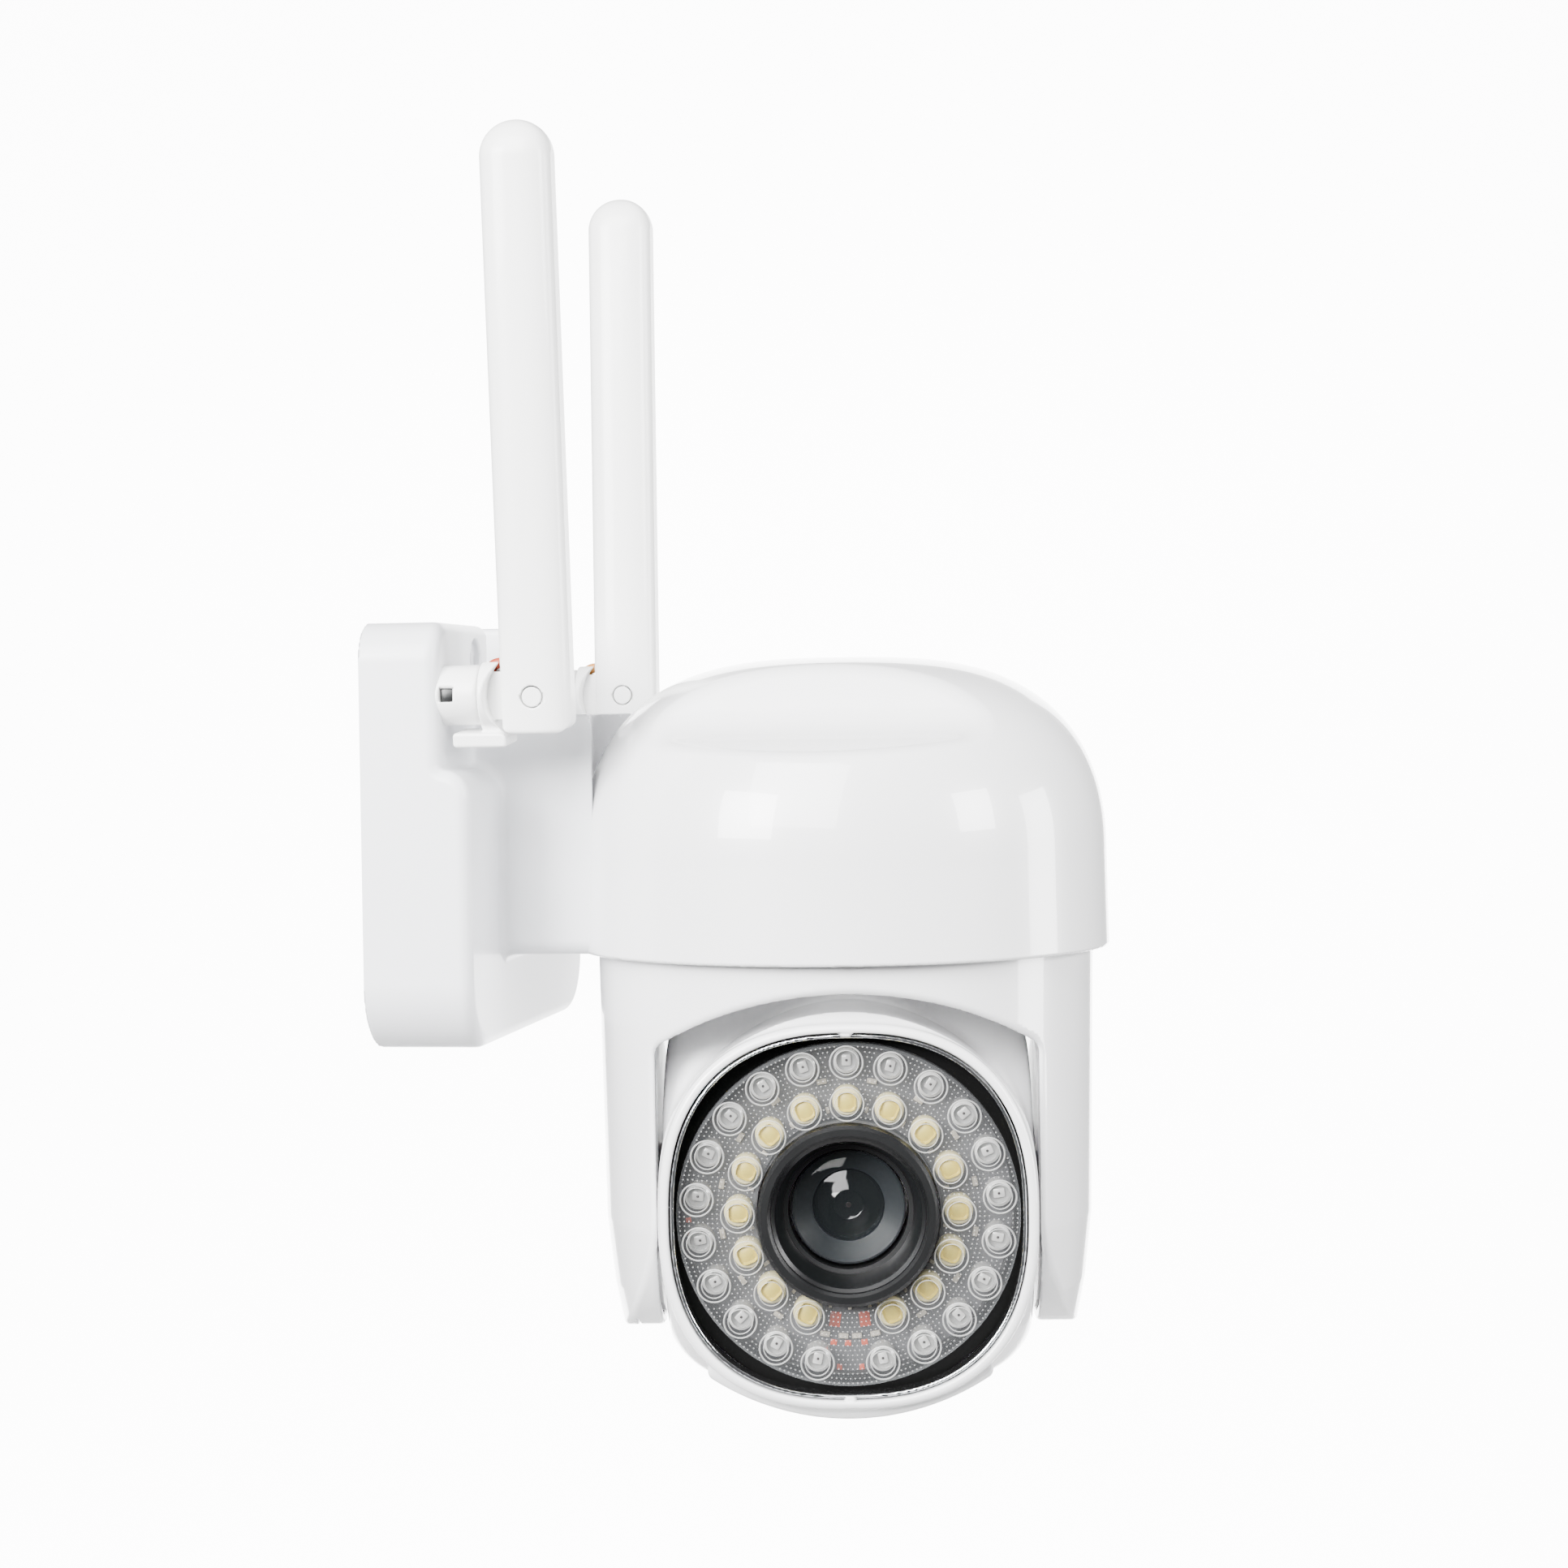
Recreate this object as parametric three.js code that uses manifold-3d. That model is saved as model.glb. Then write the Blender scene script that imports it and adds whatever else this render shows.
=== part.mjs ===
// Outdoor pan and tilt security camera with a wall bracket, a hood, a turning fork, a tilting
// head and two folding antennas. Millimetres. The origin is the centre of the bracket's back
// face: +X points away from the wall, +Z up, and the near antenna is on the -Y side.
import * as THREE from "three";
import { mergeVertices } from "three/addons/utils/BufferGeometryUtils.js";
import Module from "manifold-3d";

const wasm = await Module();
wasm.setup();
const degrees = THREE.MathUtils.degToRad;

// ---- Clearances ----
const GAP = 0.3; // between two pieces that touch
const RUN = 0.6; // between pieces that turn past each other
const BACKLASH = 0.3; // play between meshed teeth

// ---- Wall bracket ----
const WALL = 2.2; // thickness of the moulded shells
const PLATE_HALF_WIDTH = 43.8;
const PLATE_HALF_HEIGHT = 37.3;
const PLATE_DEPTH = 19.2; // below the shelf
const PLATE_TOP_DEPTH = 14; // above the shelf, behind the antennas
const SHELF_Z = 11.7;
const CORNER_LOW = 12; // radius of the two lower corners
const CORNER_HIGH = 7; // radius of the two upper corners
const EDGE_ROUND = 2; // rounding of the bracket's front edges
const DIP_HALF_WIDTH = 8; // dip in the middle of the upper edge
const DIP_Z = 29.8;
const ARM_HALF_WIDTH = 21;
const ARM_LOW = -22;
const ARM_HIGH = 21;
const ARM_ROUND = 2.5;
const BACK_PLATE = 2.6; // thickness
const WALL_SCREW = { y: 17, z: 31, bore: 2.3, post: 4.6 };
const BACK_SCREW_INSET = 7.5; // from the bracket's outline to a back plate screw
const SCREW = { shank: 1.2, head: 2.7, headHeight: 1.3 };
const BOSS = 3.4; // radius of a screw boss
const GROMMET = { z: -22, bore: 3.7, body: 5.4, flange: 7.2, flangeHeight: 1.5 };

// ---- Hood ----
const PAN_X = 78.2; // pan axis, from the wall
const HOOD_RADIUS = 48; // at the rim
const HOOD_RIM_Z = -22;
const HOOD_TOP_Z = 30.6;
const HOOD_BELLY_Z = -5; // where the dome begins
const HOOD_BELLY_RADIUS = 47.7;
const HOOD_SQUARENESS = 2.55; // exponent of the dome's outline
const HOOD_WALL = 1.8;
const SCOOP = { y: 28.5, z: 16.9, topY: 22.5, lowY: 52, slope: 0.2 };
const SIDES = 28; // facets round a large circle

// ---- Pan drive ----
const CHASSIS = { top: -9.5, bottom: -12 };
const HUB = { radius: 12, bore: 8, top: 1 };
const PAN_TEETH = 36;
const PAN_MODULE = 1.25;
const PINION_TEETH = 12;
const PINION_BORE = 1;
const PAN_GEAR = { bottom: -8.4, top: -4 };
const PAN_MOTOR = { radius: 12, bottom: -2.6, top: 11 };
const CHASSIS_SCREW_RADIUS = 37.5; // from the pan axis
const CHASSIS_SCREW_ANGLES = [60, 120, -90];
const BOARD = { bottom: 5, thickness: 1.6, back: -29, front: 12, halfWidth: 26 };
const SPEAKER = { radius: 12, bottom: 19.5, top: 25.5 };

// ---- Fork ----
const REST_PAN = 7.5; // degrees that the fork is turned away from -Y at rest
const FORK_TOP_Z = -15;
const FORK_RADIUS = 45; // under the hood
const FORK_MID = { z: -70, radius: 44.2 };
const FORK_END = { z: -90.5, radius: 41.2 };
const FORK_GAP_HALF = 33.3; // from the middle to an arm's inner face
const TILT_Z = -65;
const ARCH_TOP = 38; // above the tilt axis
const ARCH_RADIUS = 59;
const ARM_END_DEPTH = 31; // half depth of an arm where its lower end begins to round
const ARM_END_START = 13; // above the tilt axis
const ARM_END_POWER = 2.2;
const ARM_SHOULDER = 8; // height over which an arm widens into the round body above
const COVER = 1.8; // thickness of an arm's inner cover
const TILT_HUB = { radius: 7, bore: 4.5 };
const TILT_STUB = 5;

// ---- Head ----
const HEAD_HALF_WIDTH = FORK_GAP_HALF - 0.7; // leaves a running gap to each arm
const BARREL_RADIUS = 37.2;
const BARREL_REACH = HEAD_HALF_WIDTH + 2.9; // half width at which the barrel's outline would close
const BARREL_POWER = 4;
const BEZEL_RADIUS = 34.6;
const BEZEL_FRONT = 40.6; // from the tilt axis to the bezel's chamfer
const BEAD_FRONT = 42;
const BEAD_HALF = HEAD_HALF_WIDTH - GAP;
const CHIN = { radius: 43.5, low: 35.2, halfWidth: 24.4, front: 39.5, back: 14 };
const OPENING = { halfWidth: HEAD_HALF_WIDTH - 2, halfHeight: 31.3, power: 2.45 };
const TRIM_WIDTH = 0.6;
const LIP_BACK = 36; // back of the bezel's front wall
const BEZEL_BORE = BEZEL_RADIUS - 2;
const LENS_PLATE = { radius: OPENING.halfWidth - 1.2, back: 36, front: 39.4 };
const MASK_BACK = 34;
const LED_BOARD = { radius: HEAD_HALF_WIDTH - 2.2, back: 29.4, thickness: 1.6 };
const LENS_TUBE = { radius: 15.5, bore: 12.6, glassSeat: 10.4, back: 22, front: 41.4, step: 33.2 };
const GLASS = { radius: 9.9, back: 31, front: 32.9 };
const LENS_BARREL = { radius: 7, back: 17.5, front: 30.6 };
const SENSOR = { half: 13, back: 14, thickness: 1.6 };
const HEAD_SCREW = { x: 18, z: 24, seat: 20 };
const TILT_TEETH = 30;
const TILT_REACH = BARREL_RADIUS - 16.2; // between the tilt axis and its motor
const TILT_MODULE = (2 * TILT_REACH) / (TILT_TEETH + PINION_TEETH);
const TILT_GEAR = { inner: HEAD_HALF_WIDTH - 5.2, outer: HEAD_HALF_WIDTH - 2.6 };
const TILT_MOTOR = { radius: 9.2, angle: 20, length: 14 };
const HATCH = { halfWidth: 11, halfHeight: 7, z: -17, sunk: 0.1 };

// ---- Antennas ----
const ANTENNA_Y = 37.8;
const ANTENNA_Z = 24.5;
const SOCKET = { radius: 5.2, bore: 2.6, flange: 5.6, front: 20.6 };
const SNAP_WINDOW = { x: 15.3, half: 1.2, depth: 1.2 };
const PIVOT_X = 30.4;
const COLLAR = { radius: 6, front: 25.6, relief: 8.5 };
const COAX_RADIUS = 1;
const TONGUE = { half: 2.1, radius: 4.2 };
const LUG = { back: 16, front: 25.4, low: 8.7, high: 6.2, half: 4.4 };
const BLADE = { width: 12.5, thickness: 10.5, below: 6.4, above: 97.4, wall: 1.5, round: 3 };
const BLADE_POWER = 2.6; // squareness of the blade's section
const PIN_RADIUS = 1.7;
const NEAR_LEAN = 5.7; // degrees outward
const FAR_LEAN = 0.4;

// ---- Solids ----

// A closed geometry as a solid, with its faces turned outward.
function solid(geometry) {
  const bare = new THREE.BufferGeometry();
  bare.setAttribute("position", geometry.getAttribute("position"));
  bare.setIndex(geometry.index);
  const merged = mergeVertices(bare, 1e-4);
  const corners = merged.index.array;
  const faces = [];
  for (let i = 0; i < corners.length; i += 3) {
    const [a, b, c] = corners.slice(i, i + 3);
    if (a !== b && b !== c && c !== a) faces.push([a, b, c]);
  }
  const make = (list) =>
    new wasm.Manifold(
      new wasm.Mesh({
        numProp: 3,
        vertProperties: merged.attributes.position.array,
        triVerts: new Uint32Array(list.flat()),
      }),
    );
  const made = make(faces);
  return made.volume() < 0 ? make(faces.map(([a, b, c]) => [a, c, b])) : made;
}

const join = (first, ...rest) => rest.reduce((sum, piece) => sum.add(piece), first);
const cut = (first, ...rest) => rest.reduce((left, piece) => left.subtract(piece), first);

// Turns a geometry made along its own Z so that it lies along a row axis. A section's first and
// second directions become Y and Z along x, X and Z along y, X and Y along z.
const FRAMES = {
  x: new THREE.Matrix4().makeBasis(axisVector(1), axisVector(2), axisVector(0)),
  y: new THREE.Matrix4().makeBasis(axisVector(0), axisVector(2), axisVector(1)),
  z: new THREE.Matrix4(),
};

function axisVector(i) {
  return new THREE.Vector3().setComponent(i, 1);
}

function along(axis, geometry) {
  return solid(geometry.applyMatrix4(FRAMES[axis]));
}

function block(x0, x1, y0, y1, z0, z1) {
  const box = new THREE.BoxGeometry(x1 - x0, y1 - y0, z1 - z0);
  return solid(box.translate((x0 + x1) / 2, (y0 + y1) / 2, (z0 + z1) / 2));
}

// A round bar from one place to another on its axis; a and b are its centre in the section.
function rod(axis, radius, from, to, a = 0, b = 0, sides = 12) {
  const bar = new THREE.CylinderGeometry(radius, radius, to - from, sides);
  return along(axis, bar.rotateX(Math.PI / 2).translate(a, b, (from + to) / 2));
}

function ring(axis, radius, bore, from, to, a = 0, b = 0, sides = 20) {
  return cut(rod(axis, radius, from, to, a, b, sides), rod(axis, bore, from - 1, to + 1, a, b, sides));
}

// A body of revolution: [radius, height] pairs that start and end on the axis.
function revolve(axis, profile, sides = SIDES) {
  const points = profile.map(([radius, height]) => new THREE.Vector2(radius, height));
  return along(axis, new THREE.LatheGeometry(points, sides).rotateX(Math.PI / 2));
}

// A shape, or a list of [a, b] points, drawn out along an axis. A bevel rounds both end faces.
function prism(axis, outline, from, to, bevel = 0, steps = 4) {
  const shape = Array.isArray(outline)
    ? new THREE.Shape(outline.map(([a, b]) => new THREE.Vector2(a, b)))
    : outline;
  const drawn = new THREE.ExtrudeGeometry(shape, {
    depth: to - from - 2 * bevel,
    bevelEnabled: bevel > 0,
    bevelThickness: bevel,
    bevelSize: bevel,
    bevelOffset: -bevel,
    bevelSegments: 1,
    curveSegments: steps,
  });
  return along(axis, drawn.translate(0, 0, from + bevel));
}

// A closed skin through rings of equally many points, with a flat end on the first and last.
function loft(rings) {
  const count = rings[0].length;
  const points = rings.flat();
  const faces = [];
  for (let r = 0; r + 1 < rings.length; r++) {
    for (let i = 0; i < count; i++) {
      const a = r * count + i;
      const b = r * count + ((i + 1) % count);
      faces.push(a, b, b + count, a, b + count, a + count);
    }
  }
  const last = points.length - count;
  for (let i = 1; i + 1 < count; i++) faces.push(0, i + 1, i, last, last + i, last + i + 1);
  const skin = new THREE.BufferGeometry().setFromPoints(points);
  return solid(skin.setIndex(faces));
}

// ---- Outlines ----

// A rectangle about a centre, with its own radius at each of the low and high corners.
function roundedBox(halfWidth, low, high, lowRadius, highRadius) {
  const shape = new THREE.Shape();
  const quarter = Math.PI / 2;
  shape.absarc(halfWidth - highRadius, high - highRadius, highRadius, 0, quarter);
  shape.absarc(-halfWidth + highRadius, high - highRadius, highRadius, quarter, 2 * quarter);
  shape.absarc(-halfWidth + lowRadius, low + lowRadius, lowRadius, 2 * quarter, 3 * quarter);
  shape.absarc(halfWidth - lowRadius, low + lowRadius, lowRadius, 3 * quarter, 4 * quarter);
  return shape;
}

// A superellipse: between an ellipse and a rounded rectangle.
function squircle(halfWidth, halfHeight, power, count = SIDES) {
  return Array.from({ length: count }, (_, i) => {
    const angle = (2 * Math.PI * i) / count;
    const swell = (value) => Math.sign(value) * Math.abs(value) ** (2 / power);
    return [halfWidth * swell(Math.cos(angle)), halfHeight * swell(Math.sin(angle))];
  });
}

// An involute gear with a tooth on the first direction of its section, turned by a phase.
function gear(axis, teeth, module, bore, from, to, a, b, phase) {
  const pitch = (teeth * module) / 2;
  const base = pitch * Math.cos(degrees(20));
  const root = pitch - 1.15 * module;
  const tip = pitch + 0.8 * module;
  const involute = (radius) => {
    const open = Math.acos(Math.min(1, base / radius));
    return Math.tan(open) - open;
  };
  const halfTooth = Math.PI / 2 / teeth - BACKLASH / 4 / pitch;
  const points = [];
  for (let t = 0; t < teeth; t++) {
    const middle = phase + (2 * Math.PI * t) / teeth;
    const heights = teeth > 2 * PINION_TEETH ? [root, tip] : [root, pitch, tip];
    const flank = heights.map((radius) => [
      radius,
      halfTooth + involute(pitch) - involute(Math.max(radius, base)),
    ]);
    const side = (sign, list) =>
      list.forEach(([radius, half]) => {
        const angle = middle + sign * half;
        points.push([radius * Math.cos(angle), radius * Math.sin(angle)]);
      });
    side(-1, flank);
    side(1, flank.toReversed());
  }
  const wheel = prism(axis, points, from, to);
  const shift = new THREE.Vector3(a, b, 0).applyMatrix4(FRAMES[axis]);
  const placed = wheel.translate([shift.x, shift.y, shift.z]);
  return cut(placed, rod(axis, bore, from - 1, to + 1, a, b, 20));
}

// ---- Finishes and pieces ----

function finish(color, roughness, metalness = 0, opacity = 1) {
  return new THREE.MeshStandardMaterial({
    color,
    roughness,
    metalness,
    opacity,
    transparent: opacity < 1,
    flatShading: true,
  });
}

const WHITE = finish(0xe6e7e9, 0.4);
const GREY_WHITE = finish(0xc8c9cd, 0.45);
const ANTENNA_WHITE = finish(0xf4f4f4, 0.5);
const BLACK = finish(0x1e2022, 0.35);
const MASK = finish(0x050505, 0.6);
const RUBBER = finish(0x232323, 0.8);
const NYLON = finish(0xd9d4c6, 0.6);
const STEEL = finish(0xb0b3b5, 0.35, 1);
const BRASS = finish(0xc79a4a, 0.35, 1);
const CHROME = finish(0xd8d9dc, 0.15, 1);
const BOARD_GREEN = finish(0x2c5a3c, 0.6);
const BOARD_GREY = finish(0x6e6e70, 0.6);
const CLEAR = finish(0xf2f4f5, 0.05, 0, 0.35);
const LENS = finish(0x2c2f30, 0.05);
const COAX_NEAR = finish(0xa0452a, 0.5);
const COAX_FAR = finish(0xc98a45, 0.5);

// A named mesh of a solid, in a group.
function piece(group, name, body, material) {
  const { vertProperties, triVerts, numProp } = body.getMesh();
  const geometry = new THREE.BufferGeometry();
  const positions = new Float32Array((vertProperties.length / numProp) * 3);
  for (let i = 0; i < positions.length / 3; i++) {
    positions.set(vertProperties.subarray(i * numProp, i * numProp + 3), i * 3);
  }
  geometry.setAttribute("position", new THREE.BufferAttribute(positions, 3));
  geometry.setIndex(new THREE.BufferAttribute(triVerts, 1));
  const mesh = new THREE.Mesh(geometry, material);
  mesh.name = name;
  group.add(mesh);
  return mesh;
}

// A pan-head screw along an axis: its head begins at `seat` and its shank runs towards `tip`.
function screw(axis, seat, tip, a, b) {
  const away = Math.sign(seat - tip);
  const span = (p, q) => [Math.min(p, q), Math.max(p, q)];
  const head = rod(axis, SCREW.head, ...span(seat, seat + away * SCREW.headHeight), a, b, 10);
  return join(head, rod(axis, SCREW.shank, ...span(seat + away * 0.2, tip), a, b, 6));
}

const camera = new THREE.Group();

// ---- Bracket ----

const armEnd = PAN_X - Math.sqrt(HOOD_RADIUS ** 2 - ARM_HALF_WIDTH ** 2) + ARM_ROUND + 2;
const backScrews = [
  [1, 1],
  [-1, 1],
  [1, -1],
  [-1, -1],
].map(([side, up]) => [
  side * (PLATE_HALF_WIDTH - BACK_SCREW_INSET),
  up > 0 ? SHELF_Z - BOSS - GAP : -PLATE_HALF_HEIGHT + BACK_SCREW_INSET,
]);
const wallScrews = [
  [WALL_SCREW.y, WALL_SCREW.z],
  [-WALL_SCREW.y, WALL_SCREW.z],
];

function plateOutline(inset) {
  const low = Math.max(CORNER_LOW - inset, 1);
  const high = Math.max(CORNER_HIGH - inset, 1);
  const [width, height] = [PLATE_HALF_WIDTH - inset, PLATE_HALF_HEIGHT - inset];
  return roundedBox(width, -height, height, low, high);
}

// The bracket's plate and arm as a full body, drawn in by a wall's thickness.
function bracketBody(inset) {
  const edge = Math.max(EDGE_ROUND - inset, 0.3);
  const backed = inset > 0 ? -5 : -edge;
  const high = prism("x", plateOutline(inset), backed, PLATE_TOP_DEPTH - inset, edge);
  const low = prism("x", plateOutline(inset), backed, PLATE_DEPTH - inset, edge);
  const below = block(-9, 99, -99, 99, -99, SHELF_Z - inset);
  const dipLow = DIP_Z - inset;
  const dipHalf = DIP_HALF_WIDTH + inset;
  const dip = block(-9, 99, -dipHalf, dipHalf, dipLow, 99);
  const armShape = roundedBox(
    ARM_HALF_WIDTH - inset,
    ARM_LOW + inset,
    ARM_HIGH - inset,
    Math.max(ARM_ROUND - inset, 0.5),
    Math.max(ARM_ROUND - inset, 0.5),
  );
  const arm = prism("x", armShape, PLATE_TOP_DEPTH / 2, armEnd + inset);
  return join(cut(high, dip), low.intersect(below), arm);
}

function hoodProfile(inset) {
  const rise = HOOD_TOP_Z - HOOD_BELLY_Z - inset;
  const belly = HOOD_BELLY_RADIUS - inset;
  const low = inset > 0 ? HOOD_RIM_Z - 5 : HOOD_RIM_Z;
  const last = 6;
  const dome = Array.from({ length: last + 1 }, (_, i) => {
    const angle = (Math.PI / 2) * (i / last);
    const radius = belly * Math.cos(angle) ** (2 / HOOD_SQUARENESS);
    const height = HOOD_BELLY_Z + rise * Math.sin(angle) ** (2 / HOOD_SQUARENESS);
    return [i === last ? 0 : radius, height];
  });
  return [[0, low], [HOOD_RADIUS - inset, low], ...dome];
}

// What a scoop takes out of the dome: a wall that leans in and a floor that slopes out.
function scoop(side, inset) {
  const floor = (y) => SCOOP.z - (y - SCOOP.y) * SCOOP.slope - inset;
  const lean = (SCOOP.topY - SCOOP.y) / (HOOD_TOP_Z - SCOOP.z);
  const top = HOOD_TOP_Z + 5;
  const wall = (z) => SCOOP.y - inset + (z - SCOOP.z) * lean;
  const points = [
    [wall(floor(SCOOP.y)), floor(SCOOP.y)],
    [SCOOP.lowY, floor(SCOOP.lowY)],
    [SCOOP.lowY, top],
    [wall(top), top],
  ];
  const outline = points.map(([y, z]) => [side * y, z]);
  return prism("x", outline, PAN_X - SCOOP.lowY, PAN_X + SCOOP.lowY);
}

function hoodBody(inset) {
  const dome = revolve("z", hoodProfile(inset)).translate([PAN_X, 0, 0]);
  return cut(dome, scoop(1, inset), scoop(-1, inset));
}

function buildBracket() {
  const front = block(0, 200, -99, 99, -99, 99);
  const toHood = block(0, PAN_X, -99, 99, -99, 99);
  let shell = cut(bracketBody(0).intersect(front), bracketBody(WALL));
  const posts = backScrews.map(([y, z]) => rod("x", BOSS, BACK_PLATE + GAP, PLATE_DEPTH - 1, y, z, 16));
  const sleeves = wallScrews.map(([y, z]) =>
    rod("x", WALL_SCREW.post, BACK_PLATE + GAP, PLATE_TOP_DEPTH - 1, y, z),
  );
  const pilots = backScrews.map(([y, z]) => rod("x", SCREW.shank + GAP, 0, 12, y, z, 12));
  const bores = wallScrews.map(([y, z]) => rod("x", WALL_SCREW.bore, -1, 30, y, z));
  const sockets = [-ANTENNA_Y, ANTENNA_Y].map((y) =>
    rod("x", SOCKET.radius + GAP, 5, 30, y, ANTENNA_Z),
  );
  const hood = revolve("z", [
    [0, -50],
    [HOOD_RADIUS + GAP, -50],
    [HOOD_RADIUS + GAP, HOOD_RIM_Z - GAP],
    ...hoodProfile(-GAP).slice(2),
  ]).translate([PAN_X, 0, 0]);
  shell = cut(join(shell, ...posts, ...sleeves), ...pilots, ...bores, ...sockets, hood);
  piece(camera, "bracket_shell", shell.intersect(toHood), GREY_WHITE);

  const plate = cut(
    prism("x", plateOutline(WALL + GAP), 0, BACK_PLATE),
    block(-9, 9, -DIP_HALF_WIDTH - WALL - GAP, DIP_HALF_WIDTH + WALL + GAP, DIP_Z - WALL - GAP, 99),
    ...bores,
    ...backScrews.map(([y, z]) => rod("x", SCREW.shank + GAP, -1, 9, y, z, 12)),
    ...backScrews.map(([y, z]) => rod("x", SCREW.head + GAP, -1, SCREW.headHeight + GAP, y, z, 16)),
    rod("x", GROMMET.body + GAP, -1, 9, 0, GROMMET.z),
  );
  piece(camera, "bracket_back_plate", plate, GREY_WHITE);
  backScrews.forEach(([y, z], i) => {
    piece(camera, `back_plate_screw_${i + 1}`, screw("x", SCREW.headHeight, 10, y, z), STEEL);
  });

  const inside = BACK_PLATE + GAP;
  const grommet = cut(
    join(
      rod("x", GROMMET.body, 0, inside + 0.5, 0, GROMMET.z, 24),
      rod("x", GROMMET.flange, inside, inside + GROMMET.flangeHeight, 0, GROMMET.z, 24),
    ),
    rod("x", GROMMET.bore, -1, 9, 0, GROMMET.z, 24),
  );
  piece(camera, "cable_grommet", grommet, RUBBER);
}

// ---- Hood and what hangs in it ----

const chassisScrews = CHASSIS_SCREW_ANGLES.map((angle) => [
  PAN_X + CHASSIS_SCREW_RADIUS * Math.cos(degrees(angle)),
  CHASSIS_SCREW_RADIUS * Math.sin(degrees(angle)),
]);
const panPitch = (PAN_TEETH * PAN_MODULE) / 2;
const panPinionPitch = (PINION_TEETH * PAN_MODULE) / 2;
const panMotorX = PAN_X + panPitch + panPinionPitch;

function buildHood() {
  const solidHood = hoodBody(0);
  const posts = chassisScrews.map(([x, y]) =>
    rod("z", BOSS, CHASSIS.top + GAP, HOOD_TOP_Z, x, y, 16).intersect(solidHood),
  );
  const speakerSeat = ring(
    "z",
    SPEAKER.radius + WALL,
    SPEAKER.radius + GAP,
    SPEAKER.bottom,
    HOOD_TOP_Z - HOOD_WALL / 2,
    PAN_X,
    0,
    24,
  );
  const armRoom = ARM_HALF_WIDTH - WALL;
  const window = block(0, PAN_X - 30, -armRoom, armRoom, ARM_LOW + 2 * WALL, ARM_HIGH - 2 * WALL);
  const shell = cut(join(cut(solidHood, hoodBody(HOOD_WALL)), ...posts, speakerSeat), window);
  const pilots = chassisScrews.map(([x, y]) => rod("z", SCREW.shank + GAP, -20, -1, x, y, 12));
  piece(camera, "hood", cut(shell, ...pilots), WHITE);

  const speaker = join(
    rod("z", SPEAKER.radius, SPEAKER.bottom, SPEAKER.bottom + 2, PAN_X, 0),
    rod("z", SPEAKER.radius - 3, SPEAKER.bottom, SPEAKER.top, PAN_X, 0),
  );
  piece(camera, "speaker", speaker, BLACK);
}

function buildChassis() {
  const radius = HOOD_BELLY_RADIUS - HOOD_WALL - 2 * GAP;
  const { bottom, top } = CHASSIS;
  const ears = [-1, 1].map((side) => side * (PAN_MOTOR.radius + 3));
  const posts = ears.map((y) => rod("z", 2.4, bottom, PAN_MOTOR.bottom - GAP, panMotorX - 3, y, 12));
  const boardPosts = boardCorners().map(([x, y]) => rod("z", 2.4, bottom, BOARD.bottom - GAP, x, y, 12));
  const plate = cut(
    join(rod("z", radius, bottom, top, PAN_X, 0, SIDES), ...posts, ...boardPosts),
    rod("z", HUB.radius + RUN, bottom - 1, top + 1, PAN_X, 0, 20),
    ...chassisScrews.map(([x, y]) => rod("z", SCREW.shank + GAP, bottom - 1, top + 1, x, y, 12)),
  );
  piece(camera, "chassis_plate", plate, NYLON);
  chassisScrews.forEach(([x, y], i) =>
    piece(camera, `chassis_screw_${i + 1}`, screw("z", bottom - GAP, -3, x, y), STEEL),
  );

  const bearing = ring("z", 22, 17, FORK_TOP_Z + GAP, bottom - GAP, PAN_X, 0, 20);
  piece(camera, "pan_bearing", bearing, STEEL);

  const motor = join(
    rod("z", PAN_MOTOR.radius, PAN_MOTOR.bottom, PAN_MOTOR.top, panMotorX, 0, 24),
    ...ears.map((y) => rod("z", 3, PAN_MOTOR.bottom, PAN_MOTOR.bottom + 1, panMotorX - 3, y, 12)),
    block(panMotorX - 6, panMotorX, ears[0], ears[1], PAN_MOTOR.bottom, PAN_MOTOR.bottom + 1),
    block(panMotorX - 15, panMotorX, -5, 5, 0, 8),
  );
  piece(camera, "pan_motor", motor, STEEL);

  const { back, front, halfWidth, bottom: low, thickness } = BOARD;
  const deck = low + thickness;
  const board = join(
    block(PAN_X + back, PAN_X + front, -halfWidth, halfWidth, low, deck),
    block(PAN_X - 20, PAN_X - 4, -8, 8, deck - 0.5, deck + 3), // shielding can
    block(PAN_X - 27, PAN_X - 22, -20, -8, deck - 0.5, deck + 5), // power plug
    block(PAN_X - 27, PAN_X - 22, 8, 20, deck - 0.5, deck + 5), // network plug
    rod("z", 3, deck - 0.5, deck + 6, PAN_X + 5, 16, 16), // capacitor
    rod("z", 3, deck - 0.5, deck + 6, PAN_X + 5, -16, 16),
  );
  piece(camera, "main_board", board, BOARD_GREEN);

  const pinion = join(
    gear("z", PINION_TEETH, PAN_MODULE, PINION_BORE, PAN_GEAR.bottom, PAN_GEAR.top, panMotorX, 0,
      Math.PI / PINION_TEETH),
    rod("z", 1.3, PAN_GEAR.bottom, PAN_MOTOR.bottom - GAP, panMotorX, 0, 12),
  );
  piece(camera, "pan_pinion", pinion, NYLON);
}

function boardCorners() {
  const inset = 3;
  const y = BOARD.halfWidth - inset + 1;
  return [
    [PAN_X + BOARD.back + inset, y],
    [PAN_X + BOARD.back + inset, -y],
    [PAN_X + BOARD.front, y + 3],
    [PAN_X + BOARD.front, -y - 3],
  ];
}

// ---- Antenna mounts ----

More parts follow.
